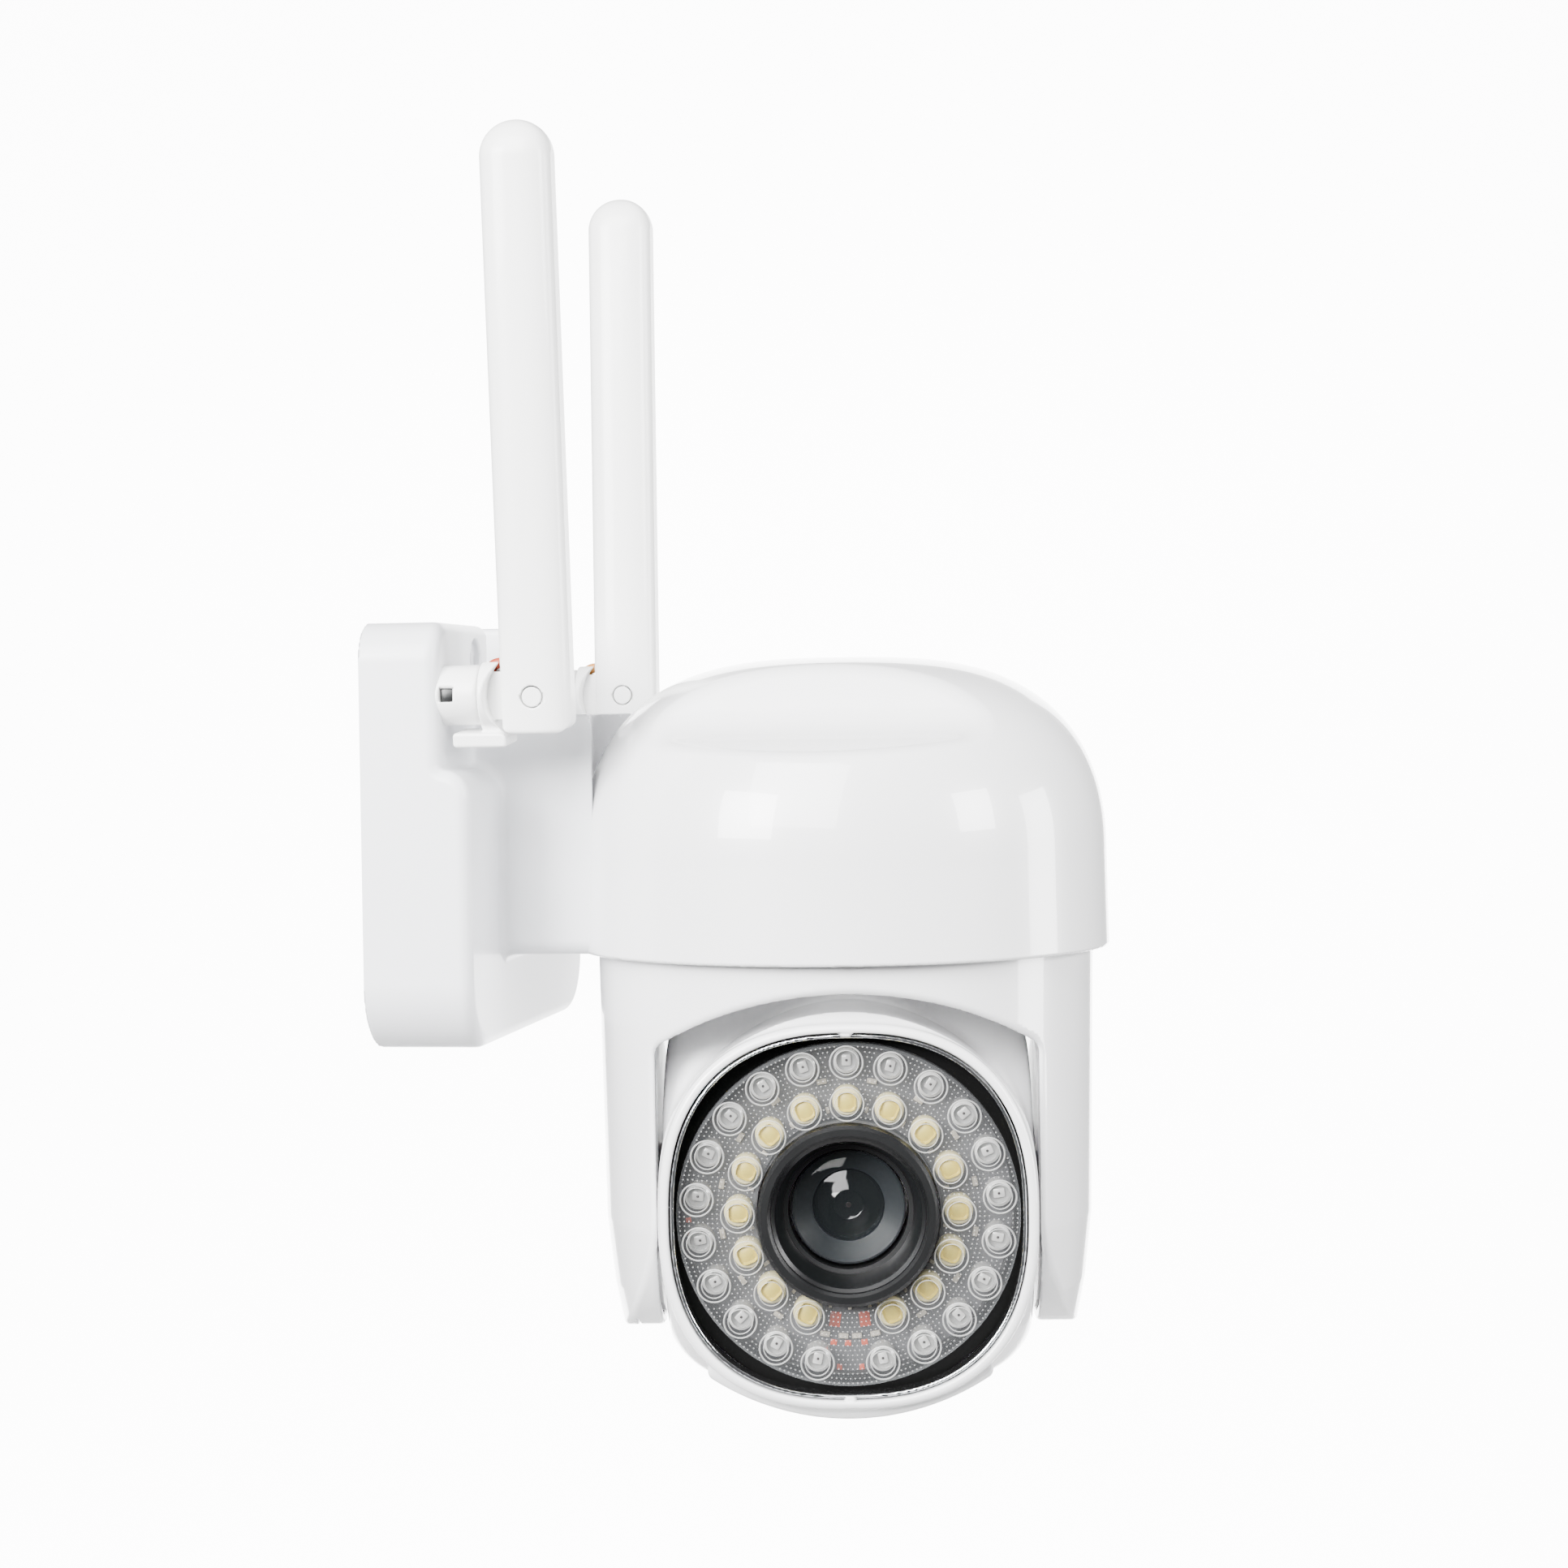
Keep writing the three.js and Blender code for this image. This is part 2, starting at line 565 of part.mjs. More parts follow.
function buildSocket(name, y) {
  const outward = Math.sign(y);
  const window = block(
    SNAP_WINDOW.x - SNAP_WINDOW.half,
    SNAP_WINDOW.x + SNAP_WINDOW.half,
    Math.min(y + outward * (SOCKET.radius - SNAP_WINDOW.depth), y + outward * 9),
    Math.max(y + outward * (SOCKET.radius - SNAP_WINDOW.depth), y + outward * 9),
    ANTENNA_Z - SNAP_WINDOW.half,
    ANTENNA_Z + SNAP_WINDOW.half,
  );
  const body = rod("x", SOCKET.radius, PLATE_TOP_DEPTH - WALL - 2, SOCKET.front, y, ANTENNA_Z, 24);
  const bore = rod("x", SOCKET.bore, 0, 30, y, ANTENNA_Z, 16);
  piece(camera, name, cut(body, bore, window), ANTENNA_WHITE);
}

// ---- Fork ----

const fork = new THREE.Group();
fork.position.x = PAN_X;
fork.rotation.z = degrees(REST_PAN);
camera.add(fork);

function forkBarrel(inset, top) {
  const radii = [
    [FORK_RADIUS - inset, top],
    [FORK_RADIUS - inset, HOOD_RIM_Z],
    [FORK_MID.radius - inset, FORK_MID.z],
    [FORK_END.radius - inset, FORK_END.z],
  ];
  const low = FORK_END.z - 1;
  const last = [FORK_END.radius - inset, low];
  return revolve("z", [[0, low], last, ...radii.toReversed(), [0, top]]);
}

// The fork seen from the side: straight above, the arms' rounded ends below.
function forkSide(inset) {
  const start = TILT_Z + ARM_END_START;
  const drop = start - FORK_END.z - inset;
  const depth = ARM_END_DEPTH - inset;
  const bulge = (value) => Math.sign(value) * Math.abs(value) ** (2 / ARM_END_POWER);
  const end = Array.from({ length: 15 }, (_, i) => {
    const angle = (Math.PI * i) / 14;
    return [-depth * bulge(Math.cos(angle)), start - drop * bulge(Math.sin(angle))];
  });
  const shoulder = start + ARM_SHOULDER;
  return [[-60, 0], [-60, shoulder], ...end, [60, shoulder], [60, 0]];
}

function archOutline(halfWidth) {
  const centre = TILT_Z + ARCH_TOP - ARCH_RADIUS;
  const reach = Math.asin(halfWidth / ARCH_RADIUS);
  const arc = Array.from({ length: 15 }, (_, i) => {
    const angle = reach - (2 * reach * i) / 14;
    return [ARCH_RADIUS * Math.sin(angle), centre + ARCH_RADIUS * Math.cos(angle)];
  });
  return [[halfWidth, -120], ...arc, [-halfWidth, -120]];
}

function buildFork() {
  const ceiling = FORK_TOP_Z - WALL;
  const gap = FORK_GAP_HALF;
  const inner = forkBarrel(WALL, ceiling);
  const headRoom = inner.intersect(block(-gap, gap, -60, 60, -120, ceiling));
  const arms = prism("x", forkSide(WALL), -60, 60).intersect(inner);
  const armRooms = cut(arms, block(-gap + 1, gap - 1, -60, 60, -120, 0));
  const hub = cut(
    rod("z", HUB.radius, FORK_TOP_Z - 0.5, HUB.top, 0, 0, 20),
    rod("z", HUB.bore, -40, 20, 0, 0, 16),
  );
  const opening = prism("y", archOutline(gap), -60, 60);
  const outer = forkBarrel(0, FORK_TOP_Z).intersect(prism("x", forkSide(0), -60, 60));
  const shell = cut(outer, headRoom, armRooms, opening, rod("z", HUB.bore, -40, 0, 0, 0, 16));
  piece(fork, "fork_shell", join(shell, hub), WHITE);

  const { bottom, top } = PAN_GEAR;
  const phase = degrees(-REST_PAN);
  const panGear = gear("z", PAN_TEETH, PAN_MODULE, HUB.radius + GAP, bottom, top, 0, 0, phase);
  piece(fork, "pan_gear", panGear, NYLON);

  const coverSide = prism("x", forkSide(WALL + GAP), -60, 60).intersect(
    forkBarrel(WALL + GAP, ceiling - GAP),
  );
  const tilt = rod("x", TILT_HUB.radius, -gap - COVER, -TILT_GEAR.inner + 0.5, 0, TILT_Z, 16);
  const coverLeft = coverSide.intersect(block(-gap - COVER, -gap, -60, 60, -120, 0));
  const hubBore = rod("x", TILT_HUB.bore, -60, 0, 0, TILT_Z, 16);
  piece(fork, "arm_cover_left", cut(join(coverLeft, tilt), hubBore), WHITE);
  const coverRight = coverSide.intersect(block(gap, gap + COVER, -60, 60, -120, 0));
  const stub = rod("x", TILT_STUB, HEAD_HALF_WIDTH - WALL - 2, gap + COVER, 0, TILT_Z);
  piece(fork, "arm_cover_right", join(coverRight, stub), WHITE);

  const { inner: near, outer: far } = TILT_GEAR;
  const angle = degrees(TILT_MOTOR.angle);
  const tiltGear = gear("x", TILT_TEETH, TILT_MODULE, TILT_HUB.radius + GAP, -far, -near, 0, TILT_Z, angle);
  piece(fork, "tilt_fixed_gear", tiltGear, NYLON);
}

// ---- Head ----

const head = new THREE.Group();
head.position.z = TILT_Z;
fork.add(head);

// The head's barrel about the tilt axis.
function headBarrel(inset) {
  const half = HEAD_HALF_WIDTH - inset;
  const radii = Array.from({ length: 9 }, (_, i) => {
    const x = half * Math.sin(((i - 4) / 4) * (Math.PI / 2));
    const share = Math.abs(x) / (BARREL_REACH - inset / 2);
    return [(BARREL_RADIUS - inset) * (1 - share ** BARREL_POWER) ** (1 / BARREL_POWER), x];
  });
  return revolve("x", [[0, -half], ...radii, [0, half]], 24);
}

function bezelCylinder(radius, from, to, half) {
  return rod("y", radius, from, to, 0, 0, SIDES).intersect(block(-half, half, -60, 60, -60, 60));
}

// The arc of the chin under the bezel.
function chin() {
  const centre = CHIN.radius - CHIN.low;
  const reach = Math.asin(CHIN.halfWidth / CHIN.radius);
  const arc = Array.from({ length: 13 }, (_, i) => {
    const angle = -reach + (2 * reach * i) / 12;
    return [CHIN.radius * Math.sin(angle), centre - CHIN.radius * Math.cos(angle)];
  });
  return prism("y", [...arc, [CHIN.halfWidth, -10], [-CHIN.halfWidth, -10]], -CHIN.front, -CHIN.back);
}

const headScrews = [
  [1, 1],
  [-1, 1],
  [1, -1],
  [-1, -1],
].map(([side, up]) => [side * HEAD_SCREW.x, up * HEAD_SCREW.z]);

function openingOutline(grow) {
  const { halfWidth, halfHeight, power } = OPENING;
  return squircle(halfWidth + grow, halfHeight + grow, power);
}

function buildHeadShells() {
  const barrel = cut(headBarrel(0), headBarrel(WALL));
  const solidBarrel = headBarrel(0);
  const ahead = block(-60, 60, -60, 0, -60, 60);
  const behind = block(-60, 60, GAP, 60, -60, 60);
  const sideHole = (x0, x1) => rod("x", TILT_HUB.radius + RUN + 2, x0, x1, 0, 0, 16);
  const holes = [sideHole(-60, -25), sideHole(25, 60)];

  const bezel = bezelCylinder(BEZEL_RADIUS, -BEZEL_FRONT, 0, HEAD_HALF_WIDTH);
  const bead = squircle(BEAD_HALF, BEAD_HALF + 0.6, OPENING.power + 0.1);
  const cavity = join(
    headBarrel(WALL).intersect(ahead),
    bezelCylinder(BEZEL_BORE, -LIP_BACK, 0, HEAD_HALF_WIDTH - 1.2),
  );
  const bosses = headScrews.flatMap(([x, z]) => [
    rod("y", BOSS - 0.6, -9, 0, x, z, 12),
    block(x - 1, x + 1, -9, 0, Math.min(z, 36 * Math.sign(z)), Math.max(z, 36 * Math.sign(z))).intersect(
      solidBarrel,
    ),
  ]);
  const pilots = headScrews.map(([x, z]) => rod("y", SCREW.shank + GAP, -8, 1, x, z, 12));
  const front = cut(
    join(
      cut(join(solidBarrel.intersect(ahead), bezel, chin()), cavity),
      ...bosses,
      prism("y", bead, -BEAD_FRONT, -BEZEL_FRONT + 1, 0.9),
    ),
    prism("y", openingOutline(0), -60, -LIP_BACK + 2),
    ...holes,
    ...pilots,
  );
  piece(head, "head_front_cap", front, WHITE);

  const hatchRoom = (grow) =>
    block(-HATCH.halfWidth - grow, HATCH.halfWidth + grow, GAP, 60, HATCH.z - HATCH.halfHeight - grow,
      HATCH.z + HATCH.halfHeight + grow);
  const towers = headScrews.map(([x, z]) =>
    rod("y", BOSS - 0.6, GAP, HEAD_SCREW.seat - WALL + 0.5, x, z, 12),
  );
  const seats = headScrews.map(([x, z]) =>
    rod("y", SCREW.head + 2.6, HEAD_SCREW.seat - WALL, 60, x, z, 16).intersect(solidBarrel),
  );
  const wellCuts = headScrews.map(([x, z]) => rod("y", SCREW.head + 0.6, HEAD_SCREW.seat, 60, x, z, 16));
  const bores = headScrews.map(([x, z]) => rod("y", SCREW.shank + GAP, -1, 30, x, z, 12));
  const rear = cut(
    join(barrel.intersect(behind), ...towers, ...seats),
    ...wellCuts,
    ...bores,
    hatchRoom(GAP),
    ...holes,
  );
  piece(head, "head_rear_shell", rear, WHITE);
  headScrews.forEach(([x, z], i) =>
    piece(head, `head_screw_${i + 1}`, screw("y", HEAD_SCREW.seat + GAP, -6, x, z), STEEL),
  );

  const skin = cut(headBarrel(HATCH.sunk), headBarrel(WALL + HATCH.sunk)).intersect(hatchRoom(0));
  piece(head, "card_hatch", skin, WHITE);

  [
    ["tilt_bush_left", -1, TILT_HUB.radius],
    ["tilt_bush_right", 1, TILT_STUB],
  ].forEach(([name, side, shaft]) => {
    const [near, far] = [HEAD_HALF_WIDTH - WALL + 0.2, HEAD_HALF_WIDTH - 0.2];
    const bush = ring("x", TILT_HUB.radius + RUN + 1.7, shaft + GAP, Math.min(side * near, side * far),
      Math.max(side * near, side * far), 0, 0, 16);
    piece(head, name, bush, NYLON);
  });
}

function buildCameraModule() {
  const trim = cut(
    prism("y", openingOutline(-GAP), -BEAD_FRONT + 0.6, -LIP_BACK - 1),
    prism("y", openingOutline(-GAP - TRIM_WIDTH), -60, 0),
  );
  piece(head, "trim_ring", trim, CHROME);

  const maskHalf = HEAD_HALF_WIDTH - 1.2 - GAP;
  const mask = cut(
    bezelCylinder(BEZEL_BORE - GAP, -LIP_BACK + GAP, -MASK_BACK, maskHalf),
    rod("y", LENS_PLATE.radius - 1, -60, 0, 0, 0, SIDES),
  );
  piece(head, "black_mask", mask, MASK);

  const tubeBore = LENS_TUBE.radius + GAP;
  const plate = ring("y", LENS_PLATE.radius, tubeBore, -LENS_PLATE.front, -LENS_PLATE.back, 0, 0, SIDES);
  piece(head, "lens_plate", plate, CLEAR);

  const boardFront = LED_BOARD.back + LED_BOARD.thickness;
  const gasket = cut(
    bezelCylinder(BEZEL_BORE - GAP, -MASK_BACK + GAP, -boardFront - GAP, maskHalf),
    rod("y", LENS_PLATE.radius - 1, -60, 0, 0, 0, SIDES),
  );
  piece(head, "head_gasket", gasket, RUBBER);

  const board = ring("y", LED_BOARD.radius, tubeBore, -boardFront, -LED_BOARD.back, 0, 0, SIDES);
  piece(head, "led_board", board, BOARD_GREY);

  const { radius, bore, glassSeat, back, front, step } = LENS_TUBE;
  const flange = rod("y", radius + 2.8, -back - 1.5, -back, 0, 0, 28);
  const tube = cut(
    join(rod("y", radius, -front, -back, 0, 0, 28), flange),
    rod("y", bore, -60, -step, 0, 0, 28),
    rod("y", glassSeat, -60, 0, 0, 0, 16),
  );
  piece(head, "lens_tube", tube, BLACK);

  const dome = [
    [0, GLASS.back],
    [GLASS.radius, GLASS.back],
    [GLASS.radius, GLASS.front - 1.4],
    [GLASS.radius * 0.7, GLASS.front - 0.6],
    [GLASS.radius * 0.35, GLASS.front - 0.15],
    [0, GLASS.front],
  ].map(([r, d]) => [r, -d]);
  piece(head, "lens_glass", revolve("y", dome, 24), LENS);

  const barrel = join(
    rod("y", LENS_BARREL.radius, -LENS_BARREL.front, -LENS_BARREL.back, 0, 0, 16),
    rod("y", glassSeat - GAP, -back - 3, -back - 1, 0, 0, 16),
  );
  piece(head, "lens_barrel", barrel, BLACK);

  const sensorFront = SENSOR.back + SENSOR.thickness;
  const posts = [-1, 1].flatMap((u) =>
    [-1, 1].map((v) => rod("y", 1.4, -back + GAP, -SENSOR.back, u * 11, v * 11, 10)),
  );
  const sensor = join(
    block(-SENSOR.half, SENSOR.half, -sensorFront, -SENSOR.back, -SENSOR.half, SENSOR.half),
    block(-4, 4, -LENS_BARREL.back + GAP, -sensorFront + 0.3, -4, 4),
    ...posts,
  );
  piece(head, "sensor_board", sensor, BOARD_GREEN);
  piece(head, "microphone", rod("y", 2.2, -LED_BOARD.back + GAP, -22, 19, -19, 14), BLACK);

  const angle = degrees(TILT_MOTOR.angle);
  const [y, z] = [TILT_REACH * Math.cos(angle), TILT_REACH * Math.sin(angle)];
  const motorStart = -TILT_GEAR.inner + 2 * GAP + 0.3;
  const motor = join(
    rod("x", TILT_MOTOR.radius, motorStart, motorStart + TILT_MOTOR.length, y, z, 24),
    block(motorStart + 3, motorStart + TILT_MOTOR.length, y - 5, y + 5, z - TILT_MOTOR.radius - 1.2, z),
  );
  piece(head, "tilt_motor", motor, STEEL);
  const pinionPhase = angle + Math.PI + Math.PI / PINION_TEETH;
  const pinion = join(
    gear("x", PINION_TEETH, TILT_MODULE, PINION_BORE, -TILT_GEAR.outer, -TILT_GEAR.inner, y, z, pinionPhase),
    rod("x", 1.3, -TILT_GEAR.outer, motorStart - GAP, y, z, 12),
  );
  piece(head, "tilt_pinion", pinion, NYLON);
}

// ---- Antennas ----

// A round bar that follows a smooth line through points.
function tube(points, radius) {
  const section = new THREE.Shape().absarc(0, 0, radius, 0, 2 * Math.PI);
  const path = new THREE.CatmullRomCurve3(points.map((point) => new THREE.Vector3(...point)));
  const options = { extrudePath: path, steps: 9, curveSegments: 3, bevelEnabled: false };
  return solid(new THREE.ExtrudeGeometry(section, options));
}

function bladeRing(z, shrink, scale = 1) {
  const [width, thickness] = [BLADE.width / 2 - shrink, BLADE.thickness / 2 - shrink];
  return squircle(width * scale, thickness * scale, BLADE_POWER, 16).map(
    ([x, y]) => new THREE.Vector3(PIVOT_X + x, y, z),
  );
}

function buildBlade() {
  const { width, thickness, below, above, wall, round } = BLADE;
  const tip = width / 2;
  const crown = [0.55, 0.87].map((rise) =>
    bladeRing(above - tip + tip * rise, 0, Math.sqrt(1 - rise ** 2)),
  );
  const top = bladeRing(above, 0, 0.2);
  const foot = [bladeRing(-below, 0.8), bladeRing(-below + 0.8, 0)];
  const full = loft([...foot, bladeRing(above - tip, 0), ...crown, top]);
  const hollow = loft([bladeRing(TONGUE.radius + 3, wall), bladeRing(above - tip - 2, wall)]);
  const room = TONGUE.radius + RUN;
  const half = TONGUE.half + GAP;
  const slot = block(PIVOT_X - width, PIVOT_X + room, -half, half, -below - 1, room);
  const feed = rod("z", 1.4, 0, TONGUE.radius + 5, PIVOT_X, 0, 10);
  const rounded = (side, radius) => {
    const x = PIVOT_X + side * (width / 2 - radius);
    const z = -below + radius;
    const corner = block(Math.min(x, x + side * 9), Math.max(x, x + side * 9), -9, 9, z - 9, z);
    return cut(corner, rod("y", radius, -20, 20, x, z, 24));
  };
  const pinHole = rod("y", PIN_RADIUS + GAP, -thickness, thickness, PIVOT_X, 0, 20);
  return cut(full, hollow, slot, feed, rounded(-1, round), rounded(1, 2), pinHole);
}

function buildSwivel() {
  const start = SOCKET.front + GAP;
  const collar = rod("x", COLLAR.radius, start, COLLAR.front, 0, 0, 28);
  const lug = join(
    block(LUG.back, LUG.front, -LUG.half, LUG.half, -LUG.low, -LUG.high),
    block(start, LUG.front, -2.5, 2.5, -LUG.high - 0.5, -4),
  );
  const relief = rod("y", COLLAR.relief, -20, 20, PIVOT_X, 0, 32);
  const tongue = join(
    block(start, PIVOT_X, -TONGUE.half, TONGUE.half, -TONGUE.radius, TONGUE.radius),
    rod("y", TONGUE.radius, -TONGUE.half, TONGUE.half, PIVOT_X, 0, 24),
  );
  const free = COAX_RADIUS + GAP;
  const groove = block(start - 1, start + 2.6, -free, free, -free, 9);
  const upper = block(start, COLLAR.front + 1, -free, free, TONGUE.radius, 9);
  const pinHole = rod("y", PIN_RADIUS + GAP, -9, 9, PIVOT_X, 0, 20);
  return cut(join(cut(join(collar, lug), relief), tongue), groove, upper, pinHole);
}

function buildAntenna(side, outward, lean, cable) {
  const antenna = new THREE.Group();
  antenna.position.set(0, outward * ANTENNA_Y, ANTENNA_Z);
  antenna.rotation.x = -outward * degrees(lean);
  camera.add(antenna);
  const named = (name) => `antenna_${side}_${name}`;
  piece(antenna, named("swivel"), buildSwivel(), ANTENNA_WHITE);
  piece(antenna, named("blade"), buildBlade(), ANTENNA_WHITE);
  const half = BLADE.thickness / 2 - 0.1;
  piece(antenna, named("hinge_pin"), rod("y", PIN_RADIUS, -half, half, PIVOT_X, 0, 20), ANTENNA_WHITE);
  const radiator = rod("z", 2, 20, 80, PIVOT_X, 0, 14);
  piece(antenna, named("radiator"), radiator, BRASS);
  const rise = TONGUE.radius + COAX_RADIUS + GAP;
  const lead = tube(
    [
      [13, 0, 0],
      [19.5, 0, 0],
      [21.3, 0, 0.6],
      [22, 0, 2.6],
      [22.4, 0, rise - 0.8],
      [23.7, 0, rise],
    ],
    COAX_RADIUS,
  );
  piece(antenna, named("coax"), lead, cable);
}

buildBracket();
buildSocket("antenna_socket_right", -ANTENNA_Y);
buildSocket("antenna_socket_left", ANTENNA_Y);
buildHood();
buildChassis();
buildFork();
buildHeadShells();
buildCameraModule();
buildAntenna("right", -1, NEAR_LEAN, COAX_NEAR);
buildAntenna("left", 1, FAR_LEAN, COAX_FAR);

export default camera;
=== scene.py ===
"""Pan and tilt security camera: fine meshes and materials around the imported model."""

import math

import bmesh
import bpy
import numpy as np
from mathutils import Matrix, Vector


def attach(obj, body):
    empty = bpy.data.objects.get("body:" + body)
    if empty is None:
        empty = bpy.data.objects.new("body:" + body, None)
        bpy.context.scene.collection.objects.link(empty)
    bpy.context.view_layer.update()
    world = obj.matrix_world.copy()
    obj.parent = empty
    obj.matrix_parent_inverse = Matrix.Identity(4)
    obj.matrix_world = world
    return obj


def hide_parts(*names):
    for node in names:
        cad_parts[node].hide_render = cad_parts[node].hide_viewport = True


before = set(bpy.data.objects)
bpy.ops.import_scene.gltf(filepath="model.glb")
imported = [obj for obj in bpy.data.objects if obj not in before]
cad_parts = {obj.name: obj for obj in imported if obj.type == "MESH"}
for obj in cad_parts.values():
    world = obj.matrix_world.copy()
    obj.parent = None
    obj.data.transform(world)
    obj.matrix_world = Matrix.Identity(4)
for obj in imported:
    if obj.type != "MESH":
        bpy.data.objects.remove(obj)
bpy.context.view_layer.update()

# ---- Sizes, in millimetres unless a name says otherwise ----
MM = 0.001
PAN_X = 78.2  # pan axis, from the wall
TILT_Z = -65  # tilt axis
REST_PAN = math.radians(7.5)  # how far the fork is turned at rest

PLATE = {"half_width": 43.8, "half_height": 37.3, "depth": 19.2, "top_depth": 14, "low": 12, "high": 7}
SHELF_Z = 11.7
SHELF_ROUND = 5
EDGE = 2.2  # rounding of the bracket's edges
DIP = {"half": 8, "z": 29.8}
ARM = {"half": 21, "low": -22, "high": 21, "round": 2.5}
BACK_WALL = 2.2
BACK_RECESS = 2.9
WALL_SCREW = {"y": 17, "z": 31, "bore": 2.3}

HOOD = {"radius": 48, "belly": 47.7, "belly_z": -5, "top": 30.6, "rim": -22, "wall": 1.7}
HOOD_POWERS = (3, 2.3)  # flatness of the crown, fullness of the shoulder
SCOOP = {"y": 28.5, "z": 16.9, "slope": 0.2, "lean": 0.47, "fillet": 4, "edge": 1.4}

FORK = {"top": -15, "gap_half": 33.3, "arch_top": -27, "arch_radius": 59, "wall": 2.2}
FORK_RADII = ((-100, 40), (-90.5, 41.2), (-82, 42.9), (-70, 44.2), (-22, 45), (0, 45))
ARM_END = {"depth": 31, "z": -52, "drop": 38.5, "power": 2.2}
COVER = 1.8

BARREL = {"radius": 37.2, "reach": 35.5, "power": 4, "half": 32.6}
BEZEL = {"radius": 34.6, "front": 40.8, "chamfer": 1.9, "bead": 42, "bead_half": 32.3}
OPENING = {"half_width": 30.6, "half_height": 31.3, "power": 2.45}
CHIN = {"radius": 43.5, "low": 35.2, "half": 24.4, "front": 39.5, "back": 10}
BORE = 32.6
LIP_BACK = 36
LENS_PLATE = {"radius": 29.4, "front": 39.4, "back": 36}
LENS_HOLE = 15.8
LED_FACE = 31
WHITE_RING = {"radius": 18.9, "places": 16, "missing": 8}
IR_RING = {"radius": 26, "count": 21, "step": 16.76}
CELL = 3.1  # radius of a cell of the clear plate
DIMPLES = {"first": 16.8, "step": 0.8, "rings": 16}

HUB_BORE = {"radius": 9.6, "start": 30}  # in the head's sides, for the tilt hub and stub
HEAD_SCREWS = [(u * 18, v * 24) for u in (-1, 1) for v in (-1, 1)]
SCREW_SEAT = 20
HATCH = {"half_width": 11, "half_height": 7, "z": -17, "room": 0.25, "grip_z": -13}
SEAM = {"x": -38.2, "half": 0.16, "low": -87.6}  # line down the fork's arm
GROMMET_Z = -22
BACK_SCREWS = {"y": 36.3, "high": 8, "low": -29.8}
CHASSIS_SCREWS = {"radius": 37.5, "z": -12.3, "turns": (60, 120, -90)}
SCREW_HEAD = {"radius": 2.7, "height": 1.3, "shank": 1.1, "reach": 1.4, "slot": 0.35}

ANTENNA = {"y": 37.8, "z": 24.5, "pivot": 30.4}
SOCKET = {"start": 9.8, "end": 20.6, "radius": 5.2, "bore": 2.6, "catch_x": 15.3, "catch_half": 1.2}
LEANS = {"right": (-1, 5.7), "left": (1, 0.4)}
BLADE = {"width": 12.5, "thickness": 10.5, "below": 6.4, "above": 97.4, "power": 2.7}
COLLAR = {"start": 20.9, "end": 25.6, "radius": 6, "relief": 8.5}
TONGUE = {"half": 2.1, "radius": 4.2}
LEAD = {"radius": 0.95, "groove_half": 1.3}

# (radius, distance forward) outlines of turned pieces
GROMMET_OUTLINE = [
    (3.7, 0.3), (4.0, 0), (5.1, 0), (5.4, 0.3), (5.4, 2.9), (7, 2.9),
    (7.2, 3.1), (7.2, 4.2), (7, 4.4), (4.0, 4.4), (3.7, 4.1),
]
LENS_TUBE_OUTLINE = [
    (11.2, 33.3), (12.6, 39.6), (13.2, 40.1), (13.3, 40.9), (13.8, 41.4), (14.9, 41.4),
    (15.5, 40.8), (15.5, 23.5), (18, 23.4), (18, 22), (10.4, 22), (10.4, 33.2),
]
LENS_STACK_OUTLINE = [
    (0.0, 27), (6.3, 27), (6.3, 28.6), (9.6, 30.7), (9.9, 30.6), (9.9, 24), (7, 24), (7, 17.5), (0.0, 17.5),
]
INNER_GLASS_OUTLINE = [
    (0.0, 28.5), (2.3, 28.4), (2.5, 28.5), (2.7, 28.35), (4.6, 28.1), (6.2, 27.6), (6.2, 27.1), (0.0, 27.1),
]
PUPIL_OUTLINE = [(0.0, 28.62), (0.45, 28.6), (0.5, 28.4), (0.0, 28.4)]
FRONT_GLASS = {"radius": 9.9, "back": 31, "edge": 31.3, "rise": 1.6}
PIN_OUTLINE = [(0.0, 5.12), (1.55, 5.12), (1.7, 4.98), (1.7, -4.98), (1.55, -5.12), (0.0, -5.12)]

# ---- Light: name, bearing and height in degrees, distance, width and height in metres, watts ----
SOFTBOXES = (
    ("softbox_left", -34, 17, 0.8, 0.34, 0.3, 17),
    ("softbox_right", 66, 16, 0.8, 0.24, 0.24, 8),
    ("softbox_side", 100, 4, 1.0, 0.3, 0.5, 14),
    ("softbox_front", -14, 30, 1.6, 1.1, 1.1, 88),
    ("softbox_top", 0, 65, 1.4, 1.2, 1.2, 12),
)
LIGHT_AIM = (0.07, 0, -0.02)
WORLD_LIGHT, WALL_LIGHT = 0.16, 11
GLOW_START, GLOW_FULL = 1.3, 1.6  # metres behind the camera body
SWEEP = {"front": -0.2, "wall": 2.2, "floor": -0.7, "bend": 0.9, "top": 0.85, "sides": (-1.15, 0.6)}

# ---- Distance fields: negative inside, in millimetres ----


def length(*parts):
    return np.sqrt(sum(part * part for part in parts))


def overlap(a, b, edge=0.0):
    """What is inside both fields, with the edge between them rounded."""
    if not edge:
        return np.maximum(a, b)
    u, v = np.maximum(a + edge, 0), np.maximum(b + edge, 0)
    return np.minimum(np.maximum(a, b), -edge) + length(u, v)


def merge(a, b, fillet=0.0):
    return -overlap(-a, -b, fillet)


def remove(a, b, edge=0.0):
    return overlap(a, -b, edge)


def chamfered(a, b, size):
    return np.maximum(np.maximum(a, b), (a + b + size) * math.sqrt(0.5))


def band(value, low, high):
    return np.maximum(low - value, value - high)


